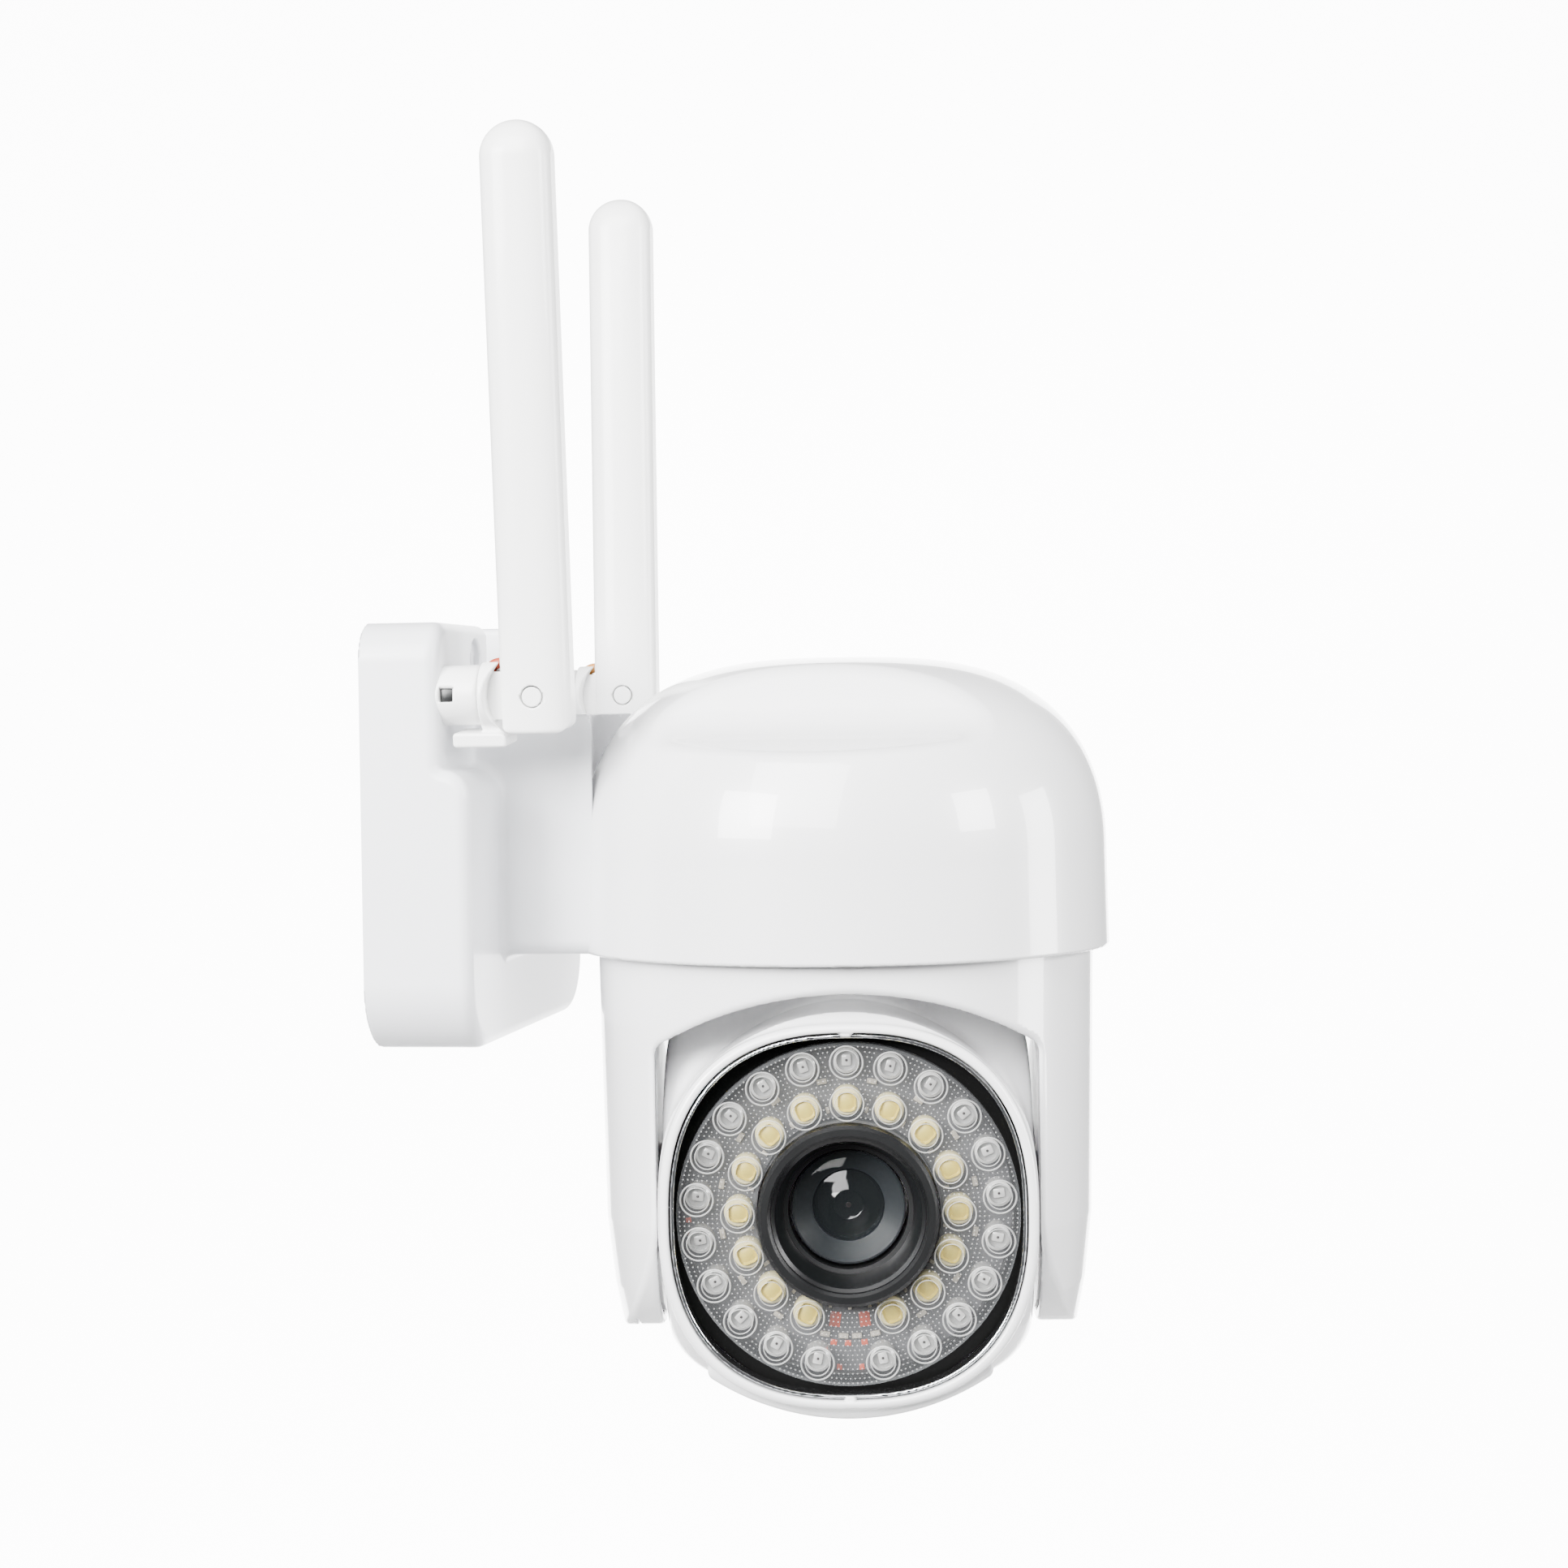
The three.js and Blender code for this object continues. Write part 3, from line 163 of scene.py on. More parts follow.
def oval(u, v, half_u, half_v, power_u, power_v=None):
    """First-order distance to a superellipse."""
    power_v = power_v or power_u
    a = np.maximum(np.abs(u) / half_u, 1e-6)
    b = np.maximum(np.abs(v) / half_v, 1e-6)
    level = a**power_u + b**power_v
    slope = length(power_u * a ** (power_u - 1) / half_u, power_v * b ** (power_v - 1) / half_v)
    widest = max(half_u, half_v)
    return (level - 1) / np.maximum(slope, 1e-3 / widest + 0.2 * level / widest)


def soft_box(u, v, half_u, half_v, radius):
    """A rectangle about the middle with round corners."""
    p, q = np.abs(u) - half_u + radius, np.abs(v) - half_v + radius
    return length(np.maximum(p, 0), np.maximum(q, 0)) + np.minimum(np.maximum(p, q), 0) - radius


# ---- From a field to a mesh ----


def new_object(name, mesh):
    obj = bpy.data.objects.new(name, mesh)
    bpy.context.scene.collection.objects.link(obj)
    return obj


def skin(name, field, low, high, step, place=Matrix.Identity(4)):
    """Mesh of the surface where a field is zero: one vertex in each grid cell that it crosses, pulled
    onto the surface, with normals from the field's own slope."""
    axes = [np.arange(a - 1.6 * step, b + 1.6 * step, step) for a, b in zip(low, high)]
    values = np.stack([field(*np.meshgrid([x], *axes[1:], indexing="ij"))[0] for x in axes[0]])
    solid = values < 0
    wide, deep, tall = (size - 1 for size in solid.shape)
    count = sum(
        solid[i : wide + i, j : deep + j, k : tall + k].astype(int)
        for i in (0, 1)
        for j in (0, 1)
        for k in (0, 1)
    )
    active = (count > 0) & (count < 8)
    cells = np.argwhere(active)
    index = np.full(active.shape, -1)
    index[active] = np.arange(len(cells))
    points = np.stack([axes[k][cells[:, k]] + step / 2 for k in range(3)], 1)

    quads = []
    for k in range(3):
        u, v = (k + 1) % 3, (k + 2) % 3
        here = np.moveaxis(solid, (k, u, v), (0, 1, 2))
        numbers = np.moveaxis(index, (k, u, v), (0, 1, 2))
        crossing = here[:-1, 1:-1, 1:-1] != here[1:, 1:-1, 1:-1]
        i, j, m = np.nonzero(crossing)
        corners = ((j, m), (j + 1, m), (j + 1, m + 1), (j, m + 1))
        ring = np.stack([numbers[i, a, b] for a, b in corners], 1)
        turned = here[:-1, 1:-1, 1:-1][crossing]
        quads.append(np.where(turned[:, None], ring, ring[:, ::-1]))
    quads = np.concatenate(quads)

    def slope(p, reach=0.02):
        return np.stack(
            [
                field(*(p + reach * axis).T) - field(*(p - reach * axis).T)
                for axis in np.eye(3)
            ],
            1,
        ) / (2 * reach)

    def settle(p, rounds):
        for _ in range(rounds):
            normal = slope(p)
            weight = np.maximum((normal**2).sum(1, keepdims=True), 0.05)
            move = field(*p.T)[:, None] * normal / weight
            p = p - np.clip(move, -step, step)
        return p

    points = settle(points, 3)
    for _ in range(3):
        total, parts = np.zeros_like(points), np.zeros(len(points))
        for a, b in ((0, 1), (1, 2), (2, 3), (3, 0)):
            np.add.at(total, quads[:, a], points[quads[:, b]])
            np.add.at(total, quads[:, b], points[quads[:, a]])
            np.add.at(parts, quads[:, a], 1)
            np.add.at(parts, quads[:, b], 1)
        points = settle(0.5 * points + 0.5 * total / np.maximum(parts, 1)[:, None], 2)

    normals = slope(points)
    normals /= np.maximum(np.linalg.norm(normals, axis=1, keepdims=True), 1e-9)
    mesh = bpy.data.meshes.new(name)
    mesh.from_pydata((points * MM).tolist(), [], quads.tolist())
    mesh.validate()
    mesh.polygons.foreach_set("use_smooth", [True] * len(mesh.polygons))
    if len(mesh.vertices) == len(normals):
        mesh.normals_split_custom_set_from_vertices(normals.tolist())
    mesh.transform(place)
    return new_object(name, mesh)


def moved(x, y, z, turn=0.0, axis="Z"):
    return Matrix.Translation((x * MM, y * MM, z * MM)) @ Matrix.Rotation(turn, 4, axis)


FORK_PLACE = moved(PAN_X, 0, 0, REST_PAN)
HEAD_PLACE = moved(PAN_X, 0, TILT_Z, REST_PAN)

# ---- Turned and drawn pieces ----


def shaded(mesh, angle):
    """Smooth faces, with edges sharper than an angle in degrees left crisp."""
    for face in mesh.faces:
        face.smooth = True
    for edge in mesh.edges:
        if edge.calc_face_angle(0) > math.radians(angle):
            edge.smooth = False


def finished(name, mesh):
    data = bpy.data.meshes.new(name)
    mesh.to_mesh(data)
    mesh.free()
    return new_object(name, data)


def turned(mesh, outline, sides=24):
    """Adds a body of revolution about -Y to a bmesh, from (radius, distance forward) pairs."""
    turns = [2 * math.pi * i / sides for i in range(sides)]
    rings = []
    for radius, ahead in outline:
        if radius < 1e-6:
            rings.append([mesh.verts.new((0, -ahead * MM, 0))])
        else:
            around = [(radius * math.cos(t) * MM, -ahead * MM, radius * math.sin(t) * MM) for t in turns]
            rings.append([mesh.verts.new(point) for point in around])
    closed = len(rings[0]) > 1
    pairs = list(zip(rings, rings[1:])) + ([(rings[-1], rings[0])] if closed else [])
    for first, second in pairs:
        for i in range(sides):
            j = (i + 1) % sides
            corners = [ring[k % len(ring)] for ring, k in ((first, i), (first, j), (second, j), (second, i))]
            unique = list(dict.fromkeys(corners))
            if len(unique) > 2:
                mesh.faces.new(unique)
    bmesh.ops.recalc_face_normals(mesh, faces=mesh.faces)


def lathe(name, outline, place, sides=96):
    """One object turned about its own -Y axis."""
    mesh = bmesh.new()
    turned(mesh, outline, sides)
    shaded(mesh, 35)
    mesh.transform(place)
    return finished(name, mesh)


def many(name, make_one, places):
    """One object holding a copy of a small mesh at each place."""
    whole = bmesh.new()
    for place in places:
        part = bmesh.new()
        make_one(part)
        part.transform(place)
        data = bpy.data.meshes.new("part")
        part.to_mesh(data)
        part.free()
        whole.from_mesh(data)
        bpy.data.meshes.remove(data)
    shaded(whole, 40)
    return finished(name, whole)


def chip(mesh, width, height, back, front, round_off=0.3):
    """Adds a small block with eased edges to a bmesh, facing -Y."""
    bmesh.ops.create_cube(mesh, size=1)
    for vert in mesh.verts:
        x, y, z = vert.co
        vert.co = (x * width * MM, -(back + (0.5 - y) * (front - back)) * MM, z * height * MM)
    bmesh.ops.bevel(mesh, geom=mesh.edges[:], offset=round_off * MM, segments=2, affect="EDGES", profile=0.5)


# ---- Camera, first of all ----


def make_camera():
    data = bpy.data.cameras.new("view")
    data.sensor_width = 36
    data.lens = 69.9
    data.clip_start, data.clip_end = 0.01, 50
    right = Vector((0.98809, 0.15323, -0.01451))
    up = Vector((0.01065, 0.02596, 0.99961))
    back = Vector((0.15355, -0.98785, 0.02401))
    turn = Matrix((right, up, back)).transposed().to_4x4()
    camera = new_object("view", data)
    camera.matrix_world = Matrix.Translation((0.1529, -0.551, 0.021)) @ turn
    bpy.context.scene.camera = camera


make_camera()

# ---- Bracket ----


def plate_field(y, z, inset=0.0):
    half_width, half_height = PLATE["half_width"] - inset, PLATE["half_height"] - inset
    corner = np.where(z > 0, max(PLATE["high"] - inset, 1), max(PLATE["low"] - inset, 1))
    return soft_box(y, z, half_width, half_height, corner)


def bracket_field(x, y, z):
    outline = plate_field(y, z)
    low = overlap(x - PLATE["depth"], z - SHELF_Z, SHELF_ROUND)
    front = merge(x - PLATE["top_depth"], low, 0.8)
    plate = overlap(outline, front, EDGE)
    dip = np.maximum(np.abs(y) - DIP["half"], DIP["z"] - z)
    plate = remove(plate, dip, 1.2)
    middle, half = (ARM["low"] + ARM["high"]) / 2, (ARM["high"] - ARM["low"]) / 2
    arm = soft_box(y, z - middle, ARM["half"], half, ARM["round"])
    arm = np.maximum(arm, x - PAN_X + 20)
    body = merge(plate, arm, 1.6)
    body = np.maximum(body, -x)
    recess = np.maximum(plate_field(y, z, BACK_WALL), x - BACK_RECESS)
    body = remove(body, np.maximum(recess, -3 - x), 0.3)
    hood = overlap(length(x - PAN_X, y) - HOOD["radius"] + 1, HOOD["rim"] - 3 - z)
    body = remove(body, hood)
    bore = length(np.abs(y) - WALL_SCREW["y"], z - WALL_SCREW["z"]) - WALL_SCREW["bore"]
    sink = np.maximum(bore - 1.4, PLATE["top_depth"] - 1.4 - x)
    return remove(remove(body, bore, 0.4), sink, 0.3)


def make_bracket():
    shell = skin("bracket_body", bracket_field, (0, -44, -37.5), (PAN_X - 36, 44, 37.5), 0.62)
    # The bracket's material is greyed as painted shade.
    stand_for(shell, "bracket_shell", "mount", PAINTED_SHADE_ABS)


# ---- Hood ----


def dome_field(x, y, z, inset=0.0):
    r = length(x - PAN_X, y)
    rise = HOOD["top"] - HOOD["belly_z"]
    crown = oval(r, np.maximum(z - HOOD["belly_z"], 0), HOOD["belly"] - inset, rise - inset, *HOOD_POWERS)
    flare = (HOOD["radius"] - HOOD["belly"]) / (HOOD["belly_z"] - HOOD["rim"])
    skirt = r - (HOOD["belly"] - inset) - flare * (HOOD["belly_z"] - z)
    return np.where(z > HOOD["belly_z"], crown, skirt)


def hood_field(x, y, z):
    lean, slope = SCOOP["lean"], SCOOP["slope"]
    side = np.abs(y)
    wall = (side - SCOOP["y"] + (z - SCOOP["z"]) * lean) / math.hypot(1, lean)
    floor = (z - SCOOP["z"] + (side - SCOOP["y"]) * slope) / math.hypot(1, slope)
    scoop = overlap(-wall, -floor, SCOOP["fillet"])
    body = remove(dome_field(x, y, z), scoop, SCOOP["edge"])
    body = overlap(body, HOOD["rim"] - z, 0.5)
    inner = np.maximum(length(x - PAN_X, y) - (HOOD["radius"] - HOOD["wall"]), z + 12.2)
    return remove(body, inner, 0.3)


def make_hood():
    r = HOOD["radius"]
    shell = skin("hood_shell", hood_field, (PAN_X - r, -r, HOOD["rim"]), (PAN_X + r, r, HOOD["top"]), 0.66)
    stand_for(shell, "hood", "mount", WHITE_ABS)


# ---- Fork ----


def fork_field(x, y, z):
    heights, radii = zip(*FORK_RADII)
    r = length(x, y)
    outer = r - np.interp(z, heights, radii)
    start = ARM_END["z"]
    end = oval(y, np.minimum(z - start, 0), ARM_END["depth"], ARM_END["drop"], ARM_END["power"])
    side = np.where(z < start, end, np.abs(y) - ARM_END["depth"] - (z - start) * 0.55)
    body = overlap(outer, side, 0.8)
    body = overlap(body, z - FORK["top"], 0.5)
    gap = FORK["gap_half"]
    room = np.maximum(np.abs(x) - gap, length(x, y) - 45 + FORK["wall"] + np.maximum(-z - 60, 0) * 0.05)
    room = np.maximum(room, z - FORK["top"] + FORK["wall"])
    centre = FORK["arch_top"] - FORK["arch_radius"]
    arch = overlap(length(x, z - centre) - FORK["arch_radius"], np.abs(x) - gap, 1.0)
    body = remove(body, room, 0.4)
    body = remove(body, arch, 1.3)
    cover = overlap(np.maximum(outer + FORK["wall"], side + FORK["wall"]), np.abs(x) - gap - COVER - 0.3)
    cover = np.maximum(cover, z - FORK["top"] + FORK["wall"])
    body = remove(body, np.maximum(cover, gap - 1 - np.abs(x)), 0.2)
    seam = np.maximum(np.abs(x - SEAM["x"]) - SEAM["half"], z - SEAM["low"])
    return remove(body, seam)


def make_fork():
    shell = skin("fork_body", fork_field, (-45, -45, -90.6), (45, 45, -15), 0.66, FORK_PLACE)
    stand_for(shell, "fork_shell", "fork", WHITE_ABS)


# ---- Head shells ----


def barrel_field(x, y, z, inset=0.0):
    r = length(y, z)
    round_body = oval(x, r, BARREL["reach"] - inset, BARREL["radius"] - inset, BARREL["power"])
    return overlap(round_body, np.abs(x) - BARREL["half"] + inset, 0.8)


def hub_bore(x, y, z):
    return np.maximum(length(y, z) - HUB_BORE["radius"], HUB_BORE["start"] - np.abs(x))


def head_front_field(x, y, z):
    ahead = -y
    barrel = barrel_field(x, y, z)
    r = length(x, z)
    half = BARREL["half"]
    sides = overlap(r - BEZEL["radius"], np.abs(x) - half, 3.0)
    bezel = chamfered(sides, ahead - BEZEL["front"], BEZEL["chamfer"])
    bezel = np.maximum(bezel, -ahead)
    bead_half = BEZEL["bead_half"]
    bead = oval(x, z, bead_half, bead_half + 0.6, OPENING["power"])
    bead = overlap(bead, ahead - BEZEL["bead"], 1.1)
    bead = np.maximum(bead, BEZEL["front"] - 3 - ahead)
    low = CHIN["radius"] - CHIN["low"]
    chin = overlap(length(x, z - low) - CHIN["radius"], ahead - CHIN["front"], 1.6)
    chin = overlap(chin, np.abs(x) - CHIN["half"], 0.6)
    chin = np.maximum(chin, np.maximum(z + 10, CHIN["back"] - ahead))
    body = merge(merge(barrel, bezel, 1.2), chin, 0.5)
    body = merge(body, bead, 0.5)
    body = np.maximum(body, y)
    opening = oval(x, z, OPENING["half_width"], OPENING["half_height"], OPENING["power"])
    body = remove(body, np.maximum(opening, LIP_BACK - 2 - ahead), 0.5)
    bore = np.maximum(length(x, z) - BORE, np.abs(x) - half + 1.2)
    bore = np.maximum(bore, np.maximum(ahead - LIP_BACK, 25 - ahead))
    body = remove(body, bore, 0.0)
    tab = np.maximum(np.abs(x) - 0.95, band(np.abs(z), 30.5, 32.5))
    tab = np.maximum(tab, band(ahead, 39.2, 41.7))
    body = merge(body, tab, 0.15)
    return remove(body, hub_bore(x, y, z), 0.3)


def head_rear_field(x, y, z):
    body = barrel_field(x, y, z)
    body = np.maximum(body, 0.3 - y)
    body = remove(body, barrel_field(x, y, z, 2.2), 0.0)
    for u, v in HEAD_SCREWS:
        reach = length(x - u, z - v)
        tower = np.maximum(reach - 5.2, np.maximum(barrel_field(x, y, z), SCREW_SEAT - 2.2 - y))
        body = merge(body, tower, 0.0)
        body = remove(body, np.maximum(reach - 3.3, SCREW_SEAT - y), 0.5)
    half_width, half_height = HATCH["half_width"] + HATCH["room"], HATCH["half_height"] + HATCH["room"]
    hatch = soft_box(x, z - HATCH["z"], half_width, half_height, 1.0)
    body = remove(body, np.maximum(hatch, 5 - y), 0.3)
    return remove(body, hub_bore(x, y, z), 0.3)


def hatch_field(x, y, z):
    panel = soft_box(x, z - HATCH["z"], HATCH["half_width"], HATCH["half_height"], 0.9)
    body = overlap(barrel_field(x, y, z, 0.1), panel, 0.4)
    groove = np.maximum(np.abs(z - HATCH["grip_z"]) - 0.5, np.abs(x) - 5)
    body = remove(body, np.maximum(groove, -barrel_field(x, y, z, 0.6)), 0.2)
    return np.maximum(np.maximum(body, -barrel_field(x, y, z, 2.2)), 3 - y)


def make_head_shells():
    half = BARREL["half"]
    front = skin("head_cap", head_front_field, (-half, -42, -37.4), (half, 0.2, 37.4), 0.5, HEAD_PLACE)
    rear = skin("head_back", head_rear_field, (-half, 0, -37.4), (half, 37.4, 37.4), 0.7, HEAD_PLACE)
    hatch = skin("head_hatch", hatch_field, (-11, 15, -24.2), (11, 37, -9.8), 0.45, HEAD_PLACE)
    for shell, node in ((front, "head_front_cap"), (rear, "head_rear_shell"), (hatch, "card_hatch")):
        stand_for(shell, node, "head", WHITE_ABS)


# ---- Materials ----


def srgb(code):
    parts = [int(code[i : i + 2], 16) / 255 for i in (0, 2, 4)]
    return tuple(p / 12.92 if p <= 0.04045 else ((p + 0.055) / 1.055) ** 2.4 for p in parts) + (1,)


def add(tree, kind, inputs=None, **settings):
    """Adds a shader node; a value in inputs may be another node's output."""
    node = tree.nodes.new("ShaderNode" + kind)
    for key, value in settings.items():
        setattr(node, key, value)
    for socket, value in (inputs or {}).items():
        if isinstance(value, bpy.types.NodeSocket):
            tree.links.new(value, node.inputs[socket])
        else:
            node.inputs[socket].default_value = value
    return node


def surface(name, colour, rough, spread=0.05, grain=0.4, relief=0.01, shade=0.03, mottle=25, **constant):
    """A finish with mottled colour, uneven gloss and a fine relief. grain and mottle are the sizes of
    the relief and of the mottling, relief is its height, all in millimetres."""
    material = bpy.data.materials.new(name)
    material.use_nodes = True
    tree = material.node_tree
    tree.nodes.clear()
    place = add(tree, "TexCoord").outputs["Object"]
    patches = add(tree, "TexNoise", {"Vector": place, "Scale": 1000 / mottle, "Detail": 3.0})
    grains = add(tree, "TexNoise", {"Vector": place, "Scale": 1000 / grain, "Detail": 2.0})
    base = srgb(colour)
    dark = tuple(part * (1 - shade) for part in base[:3]) + (1,)
    light = tuple(min(part * (1 + shade / 2), 1) for part in base[:3]) + (1,)
    tint = add(tree, "Mix", {"Factor": patches.outputs["Fac"]}, data_type="RGBA")
    # A colour Mix keeps its colour sockets after the number and vector ones.
    tint.inputs[6].default_value, tint.inputs[7].default_value = dark, light
    gloss = add(
        tree,
        "MapRange",
        {"Value": patches.outputs["Fac"], "To Min": max(rough - spread, 0.02), "To Max": rough + spread},
    )
    bump = add(tree, "Bump", {"Height": grains.outputs["Fac"], "Distance": relief * MM, "Strength": 1.0})
    shader = add(
        tree,
        "BsdfPrincipled",
        {"Base Color": tint.outputs[2], "Roughness": gloss.outputs["Result"], "Normal": bump.outputs["Normal"]},
    )
    for socket, value in constant.items():
        shader.inputs[socket.replace("_", " ")].default_value = value
    out = add(tree, "OutputMaterial")
    tree.links.new(shader.outputs[0], out.inputs[0])
    return material


WHITE_ABS = surface("gloss white moulded ABS", "E9E9EA", 0.26, 0.03, 0.5, 0.004, 0.01, 40, Coat_Weight=0.6)
# Same plastic family as the hood, moulded a little flatter, and coloured a little greyer as painted shade for
# the dimmer light on the bracket's sides.
PAINTED_SHADE_ABS = surface("satin white ABS greyed by painted shade", "E2E3E6", 0.36, 0.04, 0.45, 0.008, 0.015, 40, Coat_Weight=0.15)
# Radio-clear mast plastic, slightly warm.
ANTENNA_ABS = surface("satin white antenna ABS", "F6F6F5", 0.34, 0.04, 0.45, 0.008, 0.012, 40, Coat_Weight=0.2)
# Glass-filled black nylon of the lens tube, moulded smooth.
BLACK_PLASTIC = surface(
    "black lens plastic", "0A0B0C", 0.34, 0.05, 0.3, 0.008, 0.15, 8, Specular_IOR_Level=0.45
)
MASK_BLACK = surface("black painted mask", "010101", 0.6, 0.05, 0.25, 0.01, 0.2, 6, Specular_IOR_Level=0.1)
RUBBER = surface("black rubber", "151515", 0.75, 0.05, 0.3, 0.03, 0.15, 6)
NYLON = surface("natural nylon", "E5E1D2", 0.45, 0.05, 0.4, 0.01, 0.03, 10)
STEEL = surface("zinc plated steel", "B9BCC0", 0.3, 0.08, 0.2, 0.005, 0.08, 4, Metallic=1.0)
BRASS = surface("turned brass", "C9A45A", 0.28, 0.06, 0.2, 0.004, 0.08, 5, Metallic=1.0)
CHROME = surface("bright chrome film", "D9DBDD", 0.12, 0.04, 0.3, 0.003, 0.03, 5, Metallic=1.0)
BOARD_GREEN = surface("green solder mask", "1C5A33", 0.4, 0.08, 0.25, 0.01, 0.15, 5)
BOARD_GREY = surface("grey solder mask", "4E4E50", 0.5, 0.08, 0.35, 0.02, 0.3, 2.5)
COAX_RED = surface("red-brown coax jacket", "9A3D25", 0.45, 0.05, 0.3, 0.01, 0.08, 4)
COAX_TAN = surface("tan coax jacket", "C58845", 0.45, 0.05, 0.3, 0.01, 0.08, 4)
PHOSPHOR = surface("yellow LED phosphor", "C9B548", 0.4, 0.05, 0.2, 0.02, 0.1, 1)
LED_PACKAGE = surface("pale yellow LED package", "D9CF9E", 0.4, 0.05, 0.2, 0.01, 0.05, 2)
INFRARED = surface("infrared LED lens", "BDBCB9", 0.2, 0.04, 0.3, 0.004, 0.12, 1.5, Coat_Weight=0.8)
LED_CUP = surface("grey infrared LED cup", "8F8F8D", 0.25, 0.06, 0.3, 0.01, 0.1, 1.5)
LED_CHIP = surface("dark LED chip", "2A2523", 0.4, 0.05, 0.2, 0.01, 0.2, 1)
SOLDER_PAD = surface("red bare solder pad", "B9492F", 0.35, 0.08, 0.3, 0.01, 0.15, 2)
CERAMIC = surface("ceramic chip part", "A9A296", 0.5, 0.06, 0.3, 0.01, 0.12, 2)
INNER_GLASS = surface("coated inner glass", "1E2221", 0.06, 0.02, 3, 0.0005, 0.1, 12, Coat_Weight=1.0)
BAFFLE = surface("grey lens baffle", "3E4245", 0.4, 0.05, 0.3, 0.004, 0.08, 5)


def clear_material(name, colour, opacity, rough, relief=0.004):
    """Clear moulded plastic, let through rather than bent so that the board stays lit."""
    material = surface(name, colour, rough, 0.02, 0.8, relief, 0.02, 15)
    tree = material.node_tree
    shader = next(node for node in tree.nodes if node.type == "BSDF_PRINCIPLED")
    facing = add(tree, "LayerWeight", {"Blend": 0.35})
    span = add(
        tree,
        "MapRange",
        {"Value": facing.outputs["Facing"], "To Min": opacity, "To Max": min(opacity + 0.45, 1.0)},
    )
    tree.links.new(span.outputs["Result"], shader.inputs["Alpha"])
    return material


CLEAR_PLATE = clear_material("clear polycarbonate", "9A9C9E", 0.05, 0.08)
LENS_GLASS = clear_material("coated front glass", "15181B", 0.22, 0.03, 0.0002)
# Cell rims and dimples: clear plastic tinted near white as a painted glint, for the light their edges catch.
CLEAR_PAINTED_GLINT = clear_material("clear cell edge with painted glint", "DCDCDA", 0.22, 0.1)


def dress(obj, material):
    obj.data.materials.clear()
    obj.data.materials.append(material)
    return obj


def stand_for(obj, node, body, material):
    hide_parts(node)
    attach(obj, body)
    return dress(obj, material)


# ---- Camera module: everything seen through the head's opening ----

FACE_X = Matrix.Rotation(math.pi / 2, 4, "Z")  # turns a piece's front from -Y to +X


def trim_field(x, y, z):
    ahead = -y
    ring = oval(x, z, OPENING["half_width"] - 0.3, OPENING["half_height"] - 0.3, OPENING["power"])
    inner = oval(x, z, OPENING["half_width"] - 0.9, OPENING["half_height"] - 0.9, OPENING["power"])
    return overlap(remove(ring, inner), band(ahead, 37, 41.3), 0.15)


def mask_field(x, y, z):
    ring = np.maximum(length(x, z) - BORE + 0.3, np.abs(x) - 31.1)
    ring = remove(ring, length(x, z) - LENS_PLATE["radius"] + 1)
    return overlap(ring, band(-y, 34, 35.7), 0.2)


def plate_profile():
    back, front, radius = LENS_PLATE["back"], LENS_PLATE["front"], LENS_PLATE["radius"]
    return [
        (LENS_HOLE, back),
        (LENS_HOLE, front - 0.2),
        (LENS_HOLE + 0.2, front),
        (radius - 0.6, front),
        (radius, front - 0.6),
        (radius, back),
    ]


def ring_places(radius, turns, ahead, spin=False):
    """Places on a circle facing -Y, at turns in degrees from the top toward +X."""
    places = []
    for turn in map(math.radians, turns):
        at = moved(radius * math.sin(turn), -ahead, radius * math.cos(turn))
        places.append(HEAD_PLACE @ at @ (Matrix.Rotation(turn, 4, "Y") if spin else Matrix.Identity(4)))
    return places


def white_turns():
    step = 360 / WHITE_RING["places"]
    return [i * step for i in range(WHITE_RING["places"]) if i != WHITE_RING["missing"]]


def infrared_turns():
    return [(i - (IR_RING["count"] - 1) / 2) * IR_RING["step"] for i in range(IR_RING["count"])]


def dimple_places(ahead):
    """Fine dimples all over the plate, left out where a cell stands."""
    cells = [(WHITE_RING["radius"], turn) for turn in white_turns()]
    cells += [(IR_RING["radius"], turn) for turn in infrared_turns()]
    centres = [(r * math.sin(math.radians(t)), r * math.cos(math.radians(t))) for r, t in cells]
    places = []
    for row in range(DIMPLES["rings"]):
        radius = DIMPLES["first"] + row * DIMPLES["step"]
        count = round(2 * math.pi * radius / DIMPLES["step"])
        for i in range(count):
            turn = 2 * math.pi * (i + 0.5 * (row % 2)) / count
            x, z = radius * math.sin(turn), radius * math.cos(turn)
            if min(math.hypot(x - u, z - v) for u, v in centres) > CELL + 0.15:
                places.append(HEAD_PLACE @ moved(x, -ahead, z))
    return places


def head_detail(obj, material):
    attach(obj, "head")
    return dress(obj, material)


def lip_outline(face, radius, width):
    """Low rounded ring that stands on a face."""
    return [
        (radius, face - 0.1),
        (radius - 0.1, face + 0.16),
        (radius - width / 2, face + 0.24),
        (radius - width + 0.1, face + 0.16),
        (radius - width, face - 0.1),
    ]


